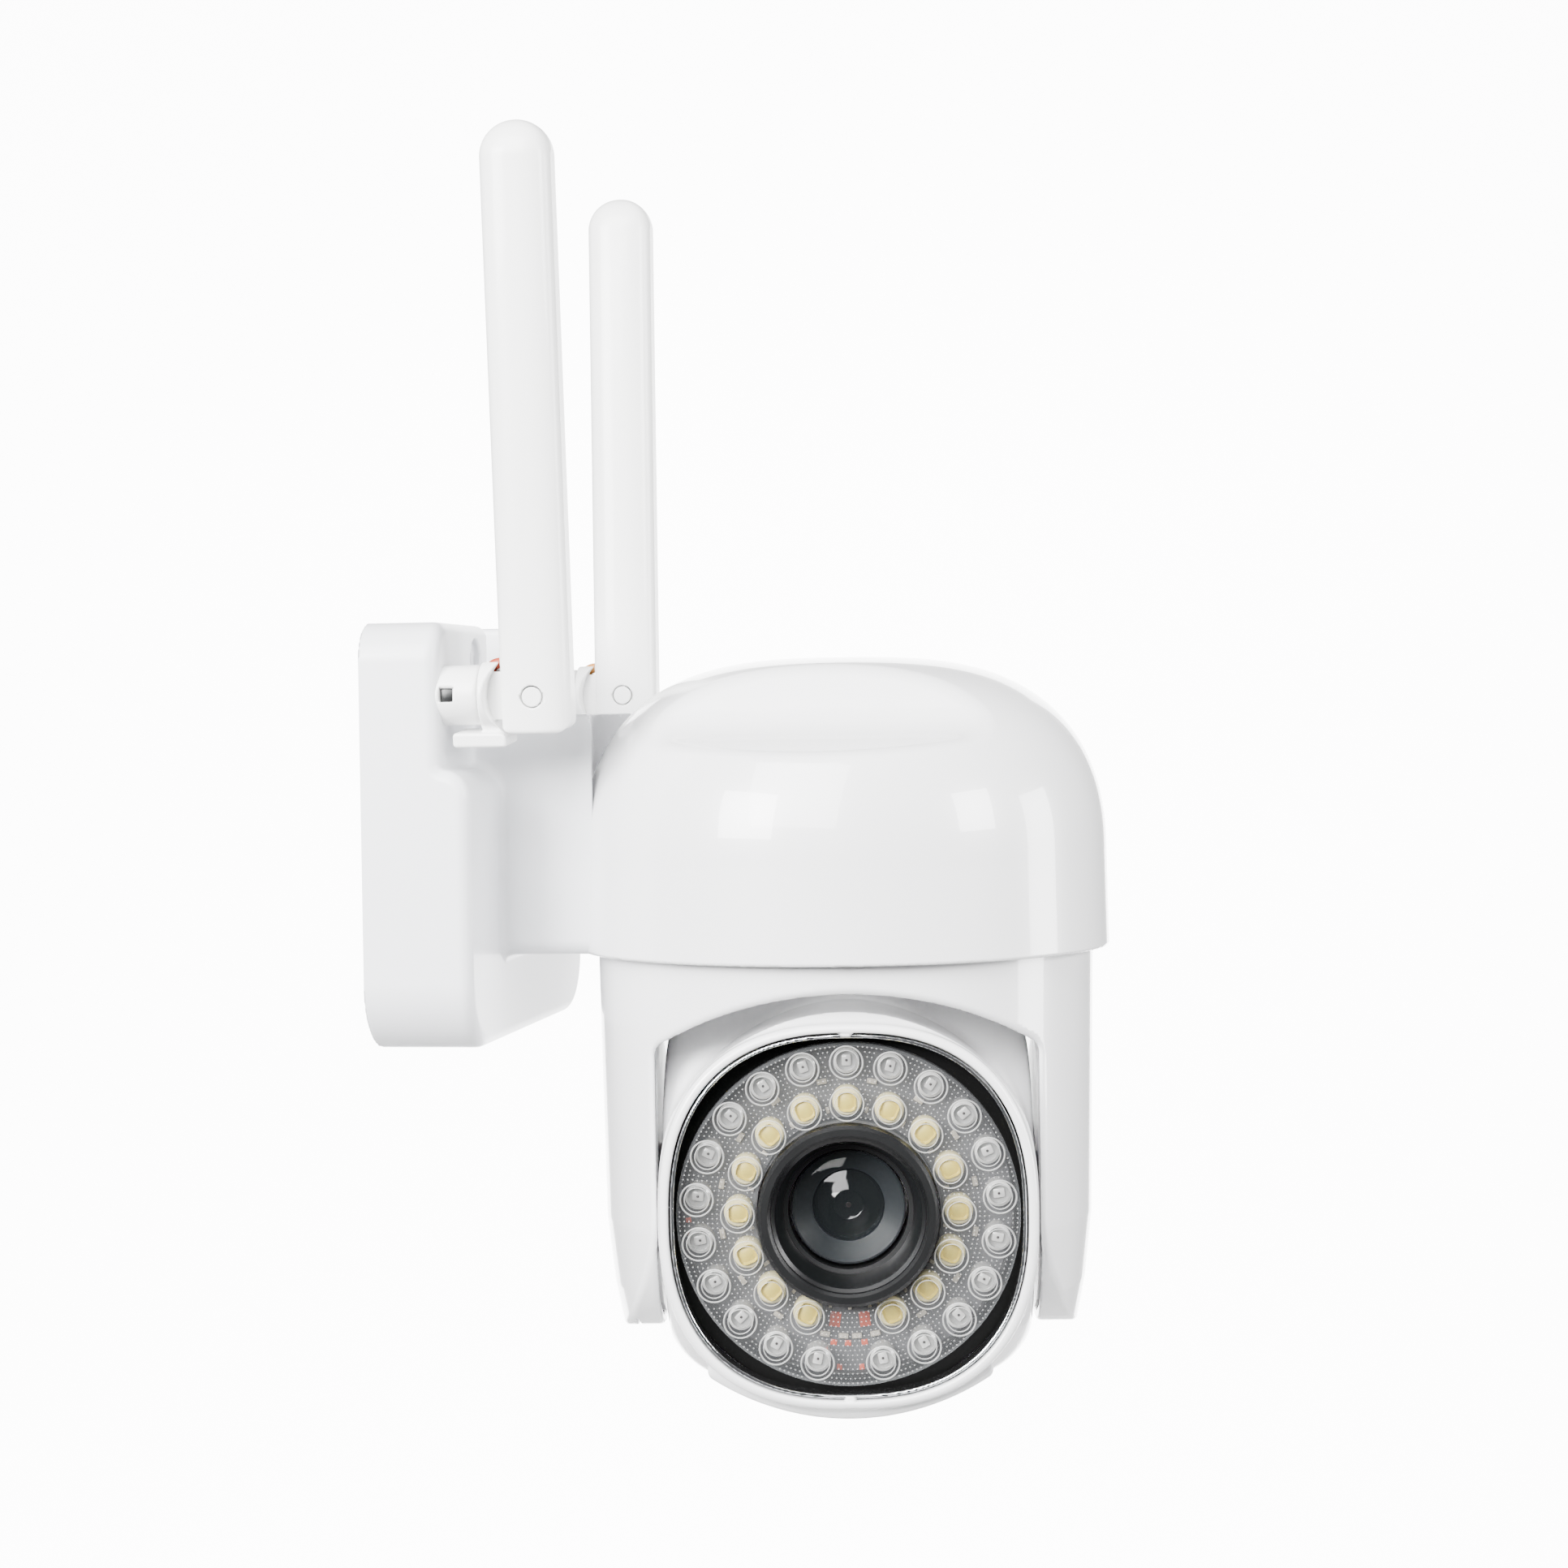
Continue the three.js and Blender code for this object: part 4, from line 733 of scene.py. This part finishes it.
def make_camera_module():
    trim = skin("trim", trim_field, (-30.6, -41.5, -31.2), (30.6, -36.9, 31.2), 0.3, HEAD_PLACE)
    stand_for(trim, "trim_ring", "head", CHROME)
    mask = skin("mask_frame", mask_field, (-31.3, -35.8, -32.4), (31.3, -33.9, 32.4), 0.35, HEAD_PLACE)
    stand_for(mask, "black_mask", "head", MASK_BLACK)
    plate = lathe("cover_plate", plate_profile(), HEAD_PLACE)
    stand_for(plate, "lens_plate", "head", CLEAR_PLATE)

    face = LENS_PLATE["front"]
    white = ring_places(WHITE_RING["radius"], white_turns(), 0)
    infrared = ring_places(IR_RING["radius"], infrared_turns(), 0)
    for name, places, radius, width in (
        ("white_cell_edges", white, CELL - 0.1, 0.26),
        ("white_cell_steps", white, CELL - 0.95, 0.2),
        ("infrared_cell_edges", infrared, CELL - 0.15, 0.3),
        ("infrared_cell_steps", infrared, CELL - 0.9, 0.22),
    ):
        # Each cell rim is drawn in the near-white clear tint, a painted glint.
        outline = lip_outline(face, radius, width)
        edges = many(name, lambda mesh, outline=outline: turned(mesh, outline, 40), places)
        head_detail(edges, CLEAR_PAINTED_GLINT)
    dot = [(0.0, face + 0.05), (0.08, face + 0.03), (0.13, face - 0.04), (0.0, face - 0.04)]
    # The dimples take the same near-white tint, a painted glint.
    dots = many("plate_dimples", lambda mesh: turned(mesh, dot, 8), dimple_places(0))
    head_detail(dots, CLEAR_PAINTED_GLINT)

    back, edge = 29.4, 30.4
    panel = [(LENS_HOLE, back), (LENS_HOLE, LED_FACE), (edge, LED_FACE), (edge, back)]
    board = lathe("led_panel", panel, HEAD_PLACE)
    stand_for(board, "led_board", "head", BOARD_GREY)
    make_board_parts()
    make_lens()


def make_board_parts():
    face, top = LED_FACE, LENS_PLATE["back"] - 0.2
    whites = ring_places(WHITE_RING["radius"], white_turns(), 0, True)
    body = [(0.0, top - 0.35), (2.25, top - 0.35), (2.5, top - 0.7), (2.5, face - 0.1), (0.0, face - 0.1)]
    head_detail(many("white_led_packages", lambda mesh: turned(mesh, body, 36), whites), LED_PACKAGE)
    disc = lambda mesh: chip(mesh, 3.1, 3.3, top - 0.5, top, 0.9)
    head_detail(many("white_led_phosphor", disc, whites), PHOSPHOR)

    infrareds = ring_places(IR_RING["radius"], infrared_turns(), 0, True)
    ring = [(1.75, top), (2.2, top - 0.3), (2.3, face - 0.1), (1.75, face - 0.1)]
    head_detail(many("infrared_led_rims", lambda mesh: turned(mesh, ring, 36), infrareds), INFRARED)
    cup = [(0.0, top - 1.2), (1.8, top - 0.9), (1.8, face - 0.1), (0.0, face - 0.1)]
    head_detail(many("infrared_led_cups", lambda mesh: turned(mesh, cup, 36), infrareds), LED_CUP)
    block = lambda mesh: chip(mesh, 1.7, 2.1, top - 1.3, top - 0.5, 0.35)
    head_detail(many("infrared_led_blocks", block, infrareds), INFRARED)
    spot = [(0.0, top - 0.36), (0.24, top - 0.4), (0.24, top - 0.6), (0.0, top - 0.6)]
    die = lambda mesh: turned(mesh, spot, 12)
    head_detail(many("infrared_led_dies", die, infrareds), LED_CHIP)

    for name, radius, turns, width, height in (
        ("bare_pads", 19.6, (172.5, 187.5), 1.9, 2.6),
        ("small_bare_pads", 23.6, (174, 181, 187), 1.1, 1.0),
        ("edge_pads", 28.4, (-94, -99, 176, 184), 0.9, 2.2),
    ):
        pads = ring_places(radius, turns, 0, True)
        flat = lambda mesh, w=width, h=height: chip(mesh, w, h, face, face + 0.12, 0.05)
        head_detail(many(name, flat, pads), SOLDER_PAD)
    turns = [(i + 0.5) * 360 / WHITE_RING["places"] for i in range(WHITE_RING["places"])]
    parts = ring_places(22.3, turns + [177, 183], 0, True)
    head_detail(many("chip_parts", lambda mesh: chip(mesh, 1.7, 0.9, face, face + 0.7, 0.12), parts), CERAMIC)
    small = ring_places(17.2, turns + [180], 0, True)
    speck = lambda mesh: chip(mesh, 0.6, 1.1, face, face + 0.5, 0.08)
    head_detail(many("small_chip_parts", speck, small), CERAMIC)


def make_lens():
    tube = lathe("lens_surround", LENS_TUBE_OUTLINE, HEAD_PLACE, 128)
    stand_for(tube, "lens_tube", "head", BLACK_PLASTIC)
    radius, back = FRONT_GLASS["radius"], FRONT_GLASS["back"]
    dome = [
        (radius * math.sin(turn), FRONT_GLASS["edge"] + FRONT_GLASS["rise"] * math.cos(turn))
        for turn in np.linspace(0, math.pi / 2, 14)
    ]
    outline = [(0.0, dome[0][1]), *dome[1:], (radius, back), (0.0, back)]
    glass = lathe("front_glass", outline, HEAD_PLACE)
    stand_for(glass, "lens_glass", "head", LENS_GLASS)
    stack = lathe("lens_stack", LENS_STACK_OUTLINE, HEAD_PLACE)
    stand_for(stack, "lens_barrel", "head", BAFFLE)
    head_detail(lathe("inner_glass", INNER_GLASS_OUTLINE, HEAD_PLACE), INNER_GLASS)
    head_detail(lathe("pupil", PUPIL_OUTLINE, HEAD_PLACE, 32), LED_CHIP)


# ---- Antennas ----


def socket_field(x, y, z):
    r = length(y, z)
    body = overlap(r - SOCKET["radius"], band(x, SOCKET["start"], SOCKET["end"]), 0.4)
    body = remove(body, r - SOCKET["bore"], 0.2)
    half = SOCKET["catch_half"]
    window = np.maximum(np.abs(x - SOCKET["catch_x"]) - half, np.abs(z) - half)
    return remove(body, np.maximum(window, 4 - y), 0.1)


def swivel_field(x, y, z):
    r = length(y, z)
    collar = overlap(r - COLLAR["radius"], band(x, COLLAR["start"], COLLAR["end"]), 0.5)
    lug = soft_box(x - 20.7, z + 7.45, 4.7, 1.25, 0.6)
    lug = overlap(lug, np.abs(y) - 4.4, 0.5)
    neck = np.maximum(np.maximum(band(x, COLLAR["start"], 25.4), np.abs(y) - 2.5), band(z, -6.9, -4))
    body = merge(merge(collar, lug, 0.3), neck, 0.5)
    pivot = length(x - ANTENNA["pivot"], z)
    body = remove(body, pivot - COLLAR["relief"], 0.4)
    tongue = np.maximum(pivot - TONGUE["radius"], np.abs(y) - TONGUE["half"])
    bridge = np.maximum(band(x, COLLAR["start"], ANTENNA["pivot"]), np.abs(z) - TONGUE["radius"])
    tongue = np.minimum(tongue, np.maximum(bridge, np.abs(y) - TONGUE["half"]))
    body = np.minimum(body, tongue)
    half = LEAD["groove_half"]
    groove = np.maximum(np.abs(y) - half, np.maximum(-half - z, band(x, 19, 23.5)))
    body = remove(body, groove, 0.2)
    upper = np.maximum(np.abs(y) - half, np.maximum(TONGUE["radius"] - z, band(x, 19, 27)))
    return remove(remove(body, upper, 0.2), pivot - 2.0, 0.1)


def blade_field(x, y, z):
    across = x - ANTENNA["pivot"]
    half_width, half_depth = BLADE["width"] / 2, BLADE["thickness"] / 2
    section = oval(across, y, half_width, half_depth, BLADE["power"])
    norm = (np.abs(across / half_width) ** BLADE["power"] + np.abs(y / half_depth) ** BLADE["power"]) ** (
        1 / BLADE["power"]
    )
    start = BLADE["above"] - half_width
    tip = oval(norm * half_width, np.maximum(z - start, 0), half_width, half_width, 2)
    body = np.where(z > start, tip, section)
    body = overlap(body, -BLADE["below"] - z, 0.8)
    foot = overlap(-BLADE["below"] - z, np.abs(across + 0.2) - half_width - 0.1, 2.6)
    body = np.maximum(body, foot)
    slot = np.maximum(np.maximum(np.abs(y) - 2.4, across - 4.8), z - 4.8)
    body = remove(body, slot, 0.3)
    return remove(body, length(across, z) - 1.95, 0.15)


def tube(name, points, radius):
    """A round flexible bar through points, in metres."""
    curve = bpy.data.curves.new(name, "CURVE")
    curve.dimensions = "3D"
    curve.bevel_depth, curve.bevel_resolution = radius * MM, 8
    curve.use_fill_caps = True
    spline = curve.splines.new("NURBS")
    spline.points.add(len(points) - 1)
    for point, place in zip(spline.points, points):
        point.co = (*place, 1)
    spline.use_endpoint_u, spline.order_u, spline.resolution_u = True, 4, 16
    drawn = new_object(name + "_line", curve)
    bpy.context.view_layer.update()
    mesh = bpy.data.meshes.new_from_object(drawn)
    bpy.data.objects.remove(drawn)
    mesh.polygons.foreach_set("use_smooth", [True] * len(mesh.polygons))
    return new_object(name, mesh)


def make_antenna(side, jacket):
    outward, lean = LEANS[side]
    at = moved(0, outward * ANTENNA["y"], ANTENNA["z"])
    place = at @ Matrix.Rotation(-outward * math.radians(lean), 4, "X")
    mast, knuckle = f"antenna_{side}_mast", f"antenna_{side}_knuckle"
    blade = skin(f"mast_{side}", blade_field, (24.1, -5.3, -6.5), (36.7, 5.3, 97.5), 0.42, place)
    stand_for(blade, f"antenna_{side}_blade", mast, ANTENNA_ABS)
    swivel = skin(f"knuckle_{side}", swivel_field, (15.9, -6, -8.8), (34.7, 6, 6.1), 0.3, place)
    stand_for(swivel, f"antenna_{side}_swivel", knuckle, ANTENNA_ABS)
    outside = at if outward > 0 else at @ Matrix.Scale(-1, 4, (0, 1, 0))
    socket = skin(f"socket_{side}", socket_field, (9.7, -5.3, -5.3), (20.7, 5.3, 5.3), 0.3)
    socket.data.transform(outside)
    if outward < 0:
        socket.data.flip_normals()
    stand_for(socket, f"antenna_socket_{side}", "mount", ANTENNA_ABS)
    catch = many(
        f"catch_{side}",
        lambda mesh: chip(mesh, 2.2, 2.2, 4.02, 4.4, 0.1),
        [moved(SOCKET["catch_x"], outward * ANTENNA["y"], ANTENNA["z"], math.pi if outward > 0 else 0)],
    )
    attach(catch, "mount")
    dress(catch, BLACK_PLASTIC)
    pin = lathe(f"pin_{side}", PIN_OUTLINE, place @ moved(ANTENNA["pivot"], 0, 0), 40)
    stand_for(pin, f"antenna_{side}_hinge_pin", mast, ANTENNA_ABS)
    rise = TONGUE["radius"] + LEAD["groove_half"]
    lead = [(13, 0, 0), (17, 0, 0), (20, 0, 0), (21.6, 0, 0.6), (22, 0, 3), (22.2, 0, rise), (24, 0, rise)]
    lead = tube(f"lead_{side}", [place @ (Vector(point) * MM) for point in lead], LEAD["radius"])
    stand_for(lead, f"antenna_{side}_coax", knuckle, jacket)


# ---- Back of the bracket and fasteners ----


def back_plate_field(x, y, z):
    plate = overlap(plate_field(y, z, 2.5), band(x, 0, 2.6), 0.4)
    dip = np.maximum(np.abs(y) - DIP["half"] - 2.5, DIP["z"] - 2.5 - z)
    plate = remove(plate, dip, 0.4)
    bores = length(np.abs(y) - WALL_SCREW["y"], z - WALL_SCREW["z"]) - WALL_SCREW["bore"]
    bores = np.minimum(bores, length(y, z - GROMMET_Z) - 5.7)
    for level in (BACK_SCREWS["high"], BACK_SCREWS["low"]):
        reach = length(np.abs(y) - BACK_SCREWS["y"], z - level)
        bores = np.minimum(bores, np.minimum(reach - 1.5, np.maximum(reach - 3, x - 1.6)))
    return remove(plate, bores, 0.25)


def screw_field(x, y, z):
    """Pan head with a cross recess, facing -Y, its seat at the origin."""
    r = length(x, z)
    head = overlap(r - SCREW_HEAD["radius"], -y - SCREW_HEAD["height"], 0.8)
    head = np.maximum(head, y)
    slot, reach = SCREW_HEAD["slot"], SCREW_HEAD["reach"]
    upright = np.maximum(np.abs(x) - slot, np.abs(z) - reach)
    level = np.maximum(np.abs(z) - slot, np.abs(x) - reach)
    cross = np.minimum(upright, level)
    head = remove(head, np.maximum(cross, 0.4 + y), 0.1)
    return np.minimum(head, np.maximum(r - SCREW_HEAD["shank"], band(y, -0.1, 6)))


def make_screws():
    pattern = skin("screw", screw_field, (-2.8, -1.4, -2.8), (2.8, 6.1, 2.8), 0.2)
    back = Matrix.Rotation(-math.pi / 2, 4, "Z")
    down = Matrix.Rotation(math.pi / 2, 4, "X")
    turned_back = Matrix.Rotation(math.pi, 4, "Z")
    places = {}
    levels = (BACK_SCREWS["high"], BACK_SCREWS["low"])
    for i, (y, z) in enumerate((side * BACK_SCREWS["y"], z) for z in levels for side in (1, -1)):
        places[f"back_plate_screw_{i + 1}"] = ("mount", moved(1.3, y, z) @ back)
    for i, (x, z) in enumerate(((18, 24), (-18, 24), (18, -24), (-18, -24))):
        places[f"head_screw_{i + 1}"] = ("head", HEAD_PLACE @ moved(x, SCREW_SEAT + 0.3, z) @ turned_back)
    radius = CHASSIS_SCREWS["radius"]
    for i, turn in enumerate(map(math.radians, CHASSIS_SCREWS["turns"])):
        at = moved(PAN_X + radius * math.cos(turn), radius * math.sin(turn), CHASSIS_SCREWS["z"])
        places[f"chassis_screw_{i + 1}"] = ("mount", at @ down)
    for node, (body, place) in places.items():
        screw = new_object(node + "_fine", pattern.data.copy())
        screw.data.transform(place)
        stand_for(screw, node, body, STEEL)
    bpy.data.objects.remove(pattern)


def make_back():
    plate = skin("rear_plate", back_plate_field, (0, -41.4, -34.9), (2.6, 41.4, 34.9), 0.55)
    # The back plate shares the bracket's material, greyed as painted shade.
    stand_for(plate, "bracket_back_plate", "mount", PAINTED_SHADE_ABS)
    sleeve = lathe("grommet", GROMMET_OUTLINE, moved(0, 0, GROMMET_Z) @ FACE_X, 64)
    stand_for(sleeve, "cable_grommet", "mount", RUBBER)


# ---- What stays as it was packed: pieces closed in by the shells ----

INNER = {
    "speaker": BLACK_PLASTIC,
    "chassis_plate": WHITE_ABS,
    "pan_bearing": NYLON,
    "pan_motor": STEEL,
    "main_board": BOARD_GREEN,
    "pan_pinion": NYLON,
    "pan_gear": NYLON,
    "arm_cover_left": WHITE_ABS,
    "arm_cover_right": WHITE_ABS,
    "tilt_fixed_gear": NYLON,
    "tilt_bush_left": NYLON,
    "tilt_bush_right": NYLON,
    "head_gasket": RUBBER,
    "sensor_board": BOARD_GREEN,
    "microphone": BLACK_PLASTIC,
    "tilt_motor": STEEL,
    "tilt_pinion": NYLON,
    "antenna_right_radiator": BRASS,
    "antenna_left_radiator": BRASS,
}


def dress_inner():
    for name, material in INNER.items():
        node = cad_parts[name]
        node.data.materials.clear()
        node.data.materials.append(material)
        rounding = node.modifiers.new("eased edges", "BEVEL")
        rounding.width, rounding.segments, rounding.limit_method = 0.25 * MM, 2, "ANGLE"


# ---- Room and light ----


def soft_light(name, turn, rise, distance, width, height, power):
    """An area light at a bearing from -Y toward +X and a height angle, aimed at the camera body."""
    data = bpy.data.lights.new(name, "AREA")
    data.shape, data.size, data.size_y, data.energy = "RECTANGLE", width, height, power
    light = new_object(name, data)
    turn, rise = math.radians(turn), math.radians(rise)
    aim = Vector(LIGHT_AIM)
    away = Vector((math.sin(turn) * math.cos(rise), -math.cos(turn) * math.cos(rise), math.sin(rise)))
    light.location = aim + distance * away
    light.rotation_euler = (-away).to_track_quat("-Z", "Y").to_euler()


def backdrop_paper():
    """White paper, lit from behind where it rises as the wall."""
    material = surface("white backdrop paper", "F4F4F4", 0.8, 0.05, 2, 0.02, 0.004, 300)
    tree = material.node_tree
    shader = next(node for node in tree.nodes if node.type == "BSDF_PRINCIPLED")
    place = add(tree, "TexCoord").outputs["Object"]
    depth = add(tree, "SeparateXYZ", {"Vector": place}).outputs["Y"]
    glow = add(
        tree,
        "MapRange",
        {"Value": depth, "From Min": GLOW_START, "From Max": GLOW_FULL, "To Min": 0.0, "To Max": WALL_LIGHT},
    )
    tree.links.new(glow.outputs["Result"], shader.inputs["Emission Strength"])
    shader.inputs["Emission Color"].default_value = (1, 1, 1, 1)
    return material


def make_room():
    """A pale sweep: floor, a wide curve, and a wall behind."""
    world = bpy.data.worlds.new("studio")
    bpy.context.scene.world = world
    world.use_nodes = True
    fill = world.node_tree.nodes["Background"]
    fill.inputs["Color"].default_value = (0.97, 0.98, 1, 1)
    fill.inputs["Strength"].default_value = WORLD_LIGHT
    mesh = bmesh.new()
    floor, wall, bend = SWEEP["floor"], SWEEP["wall"], SWEEP["bend"]
    curve = [
        (wall - bend + bend * math.sin(turn), floor + bend - bend * math.cos(turn))
        for turn in np.linspace(0, math.pi / 2, 16)
    ]
    line = [(SWEEP["front"], floor), *curve, (wall, SWEEP["top"])]
    rows = [[mesh.verts.new((x, y, z)) for y, z in line] for x in SWEEP["sides"]]
    for i in range(len(line) - 1):
        mesh.faces.new((rows[0][i], rows[1][i], rows[1][i + 1], rows[0][i + 1])).smooth = True
    data = bpy.data.meshes.new("sweep")
    mesh.to_mesh(data)
    mesh.free()
    dress(new_object("sweep", data), backdrop_paper())
    for softbox in SOFTBOXES:
        soft_light(*softbox)


make_bracket()
make_back()
make_hood()
make_fork()
make_head_shells()
make_camera_module()
make_antenna("right", COAX_RED)
make_antenna("left", COAX_TAN)
make_screws()
dress_inner()
make_room()
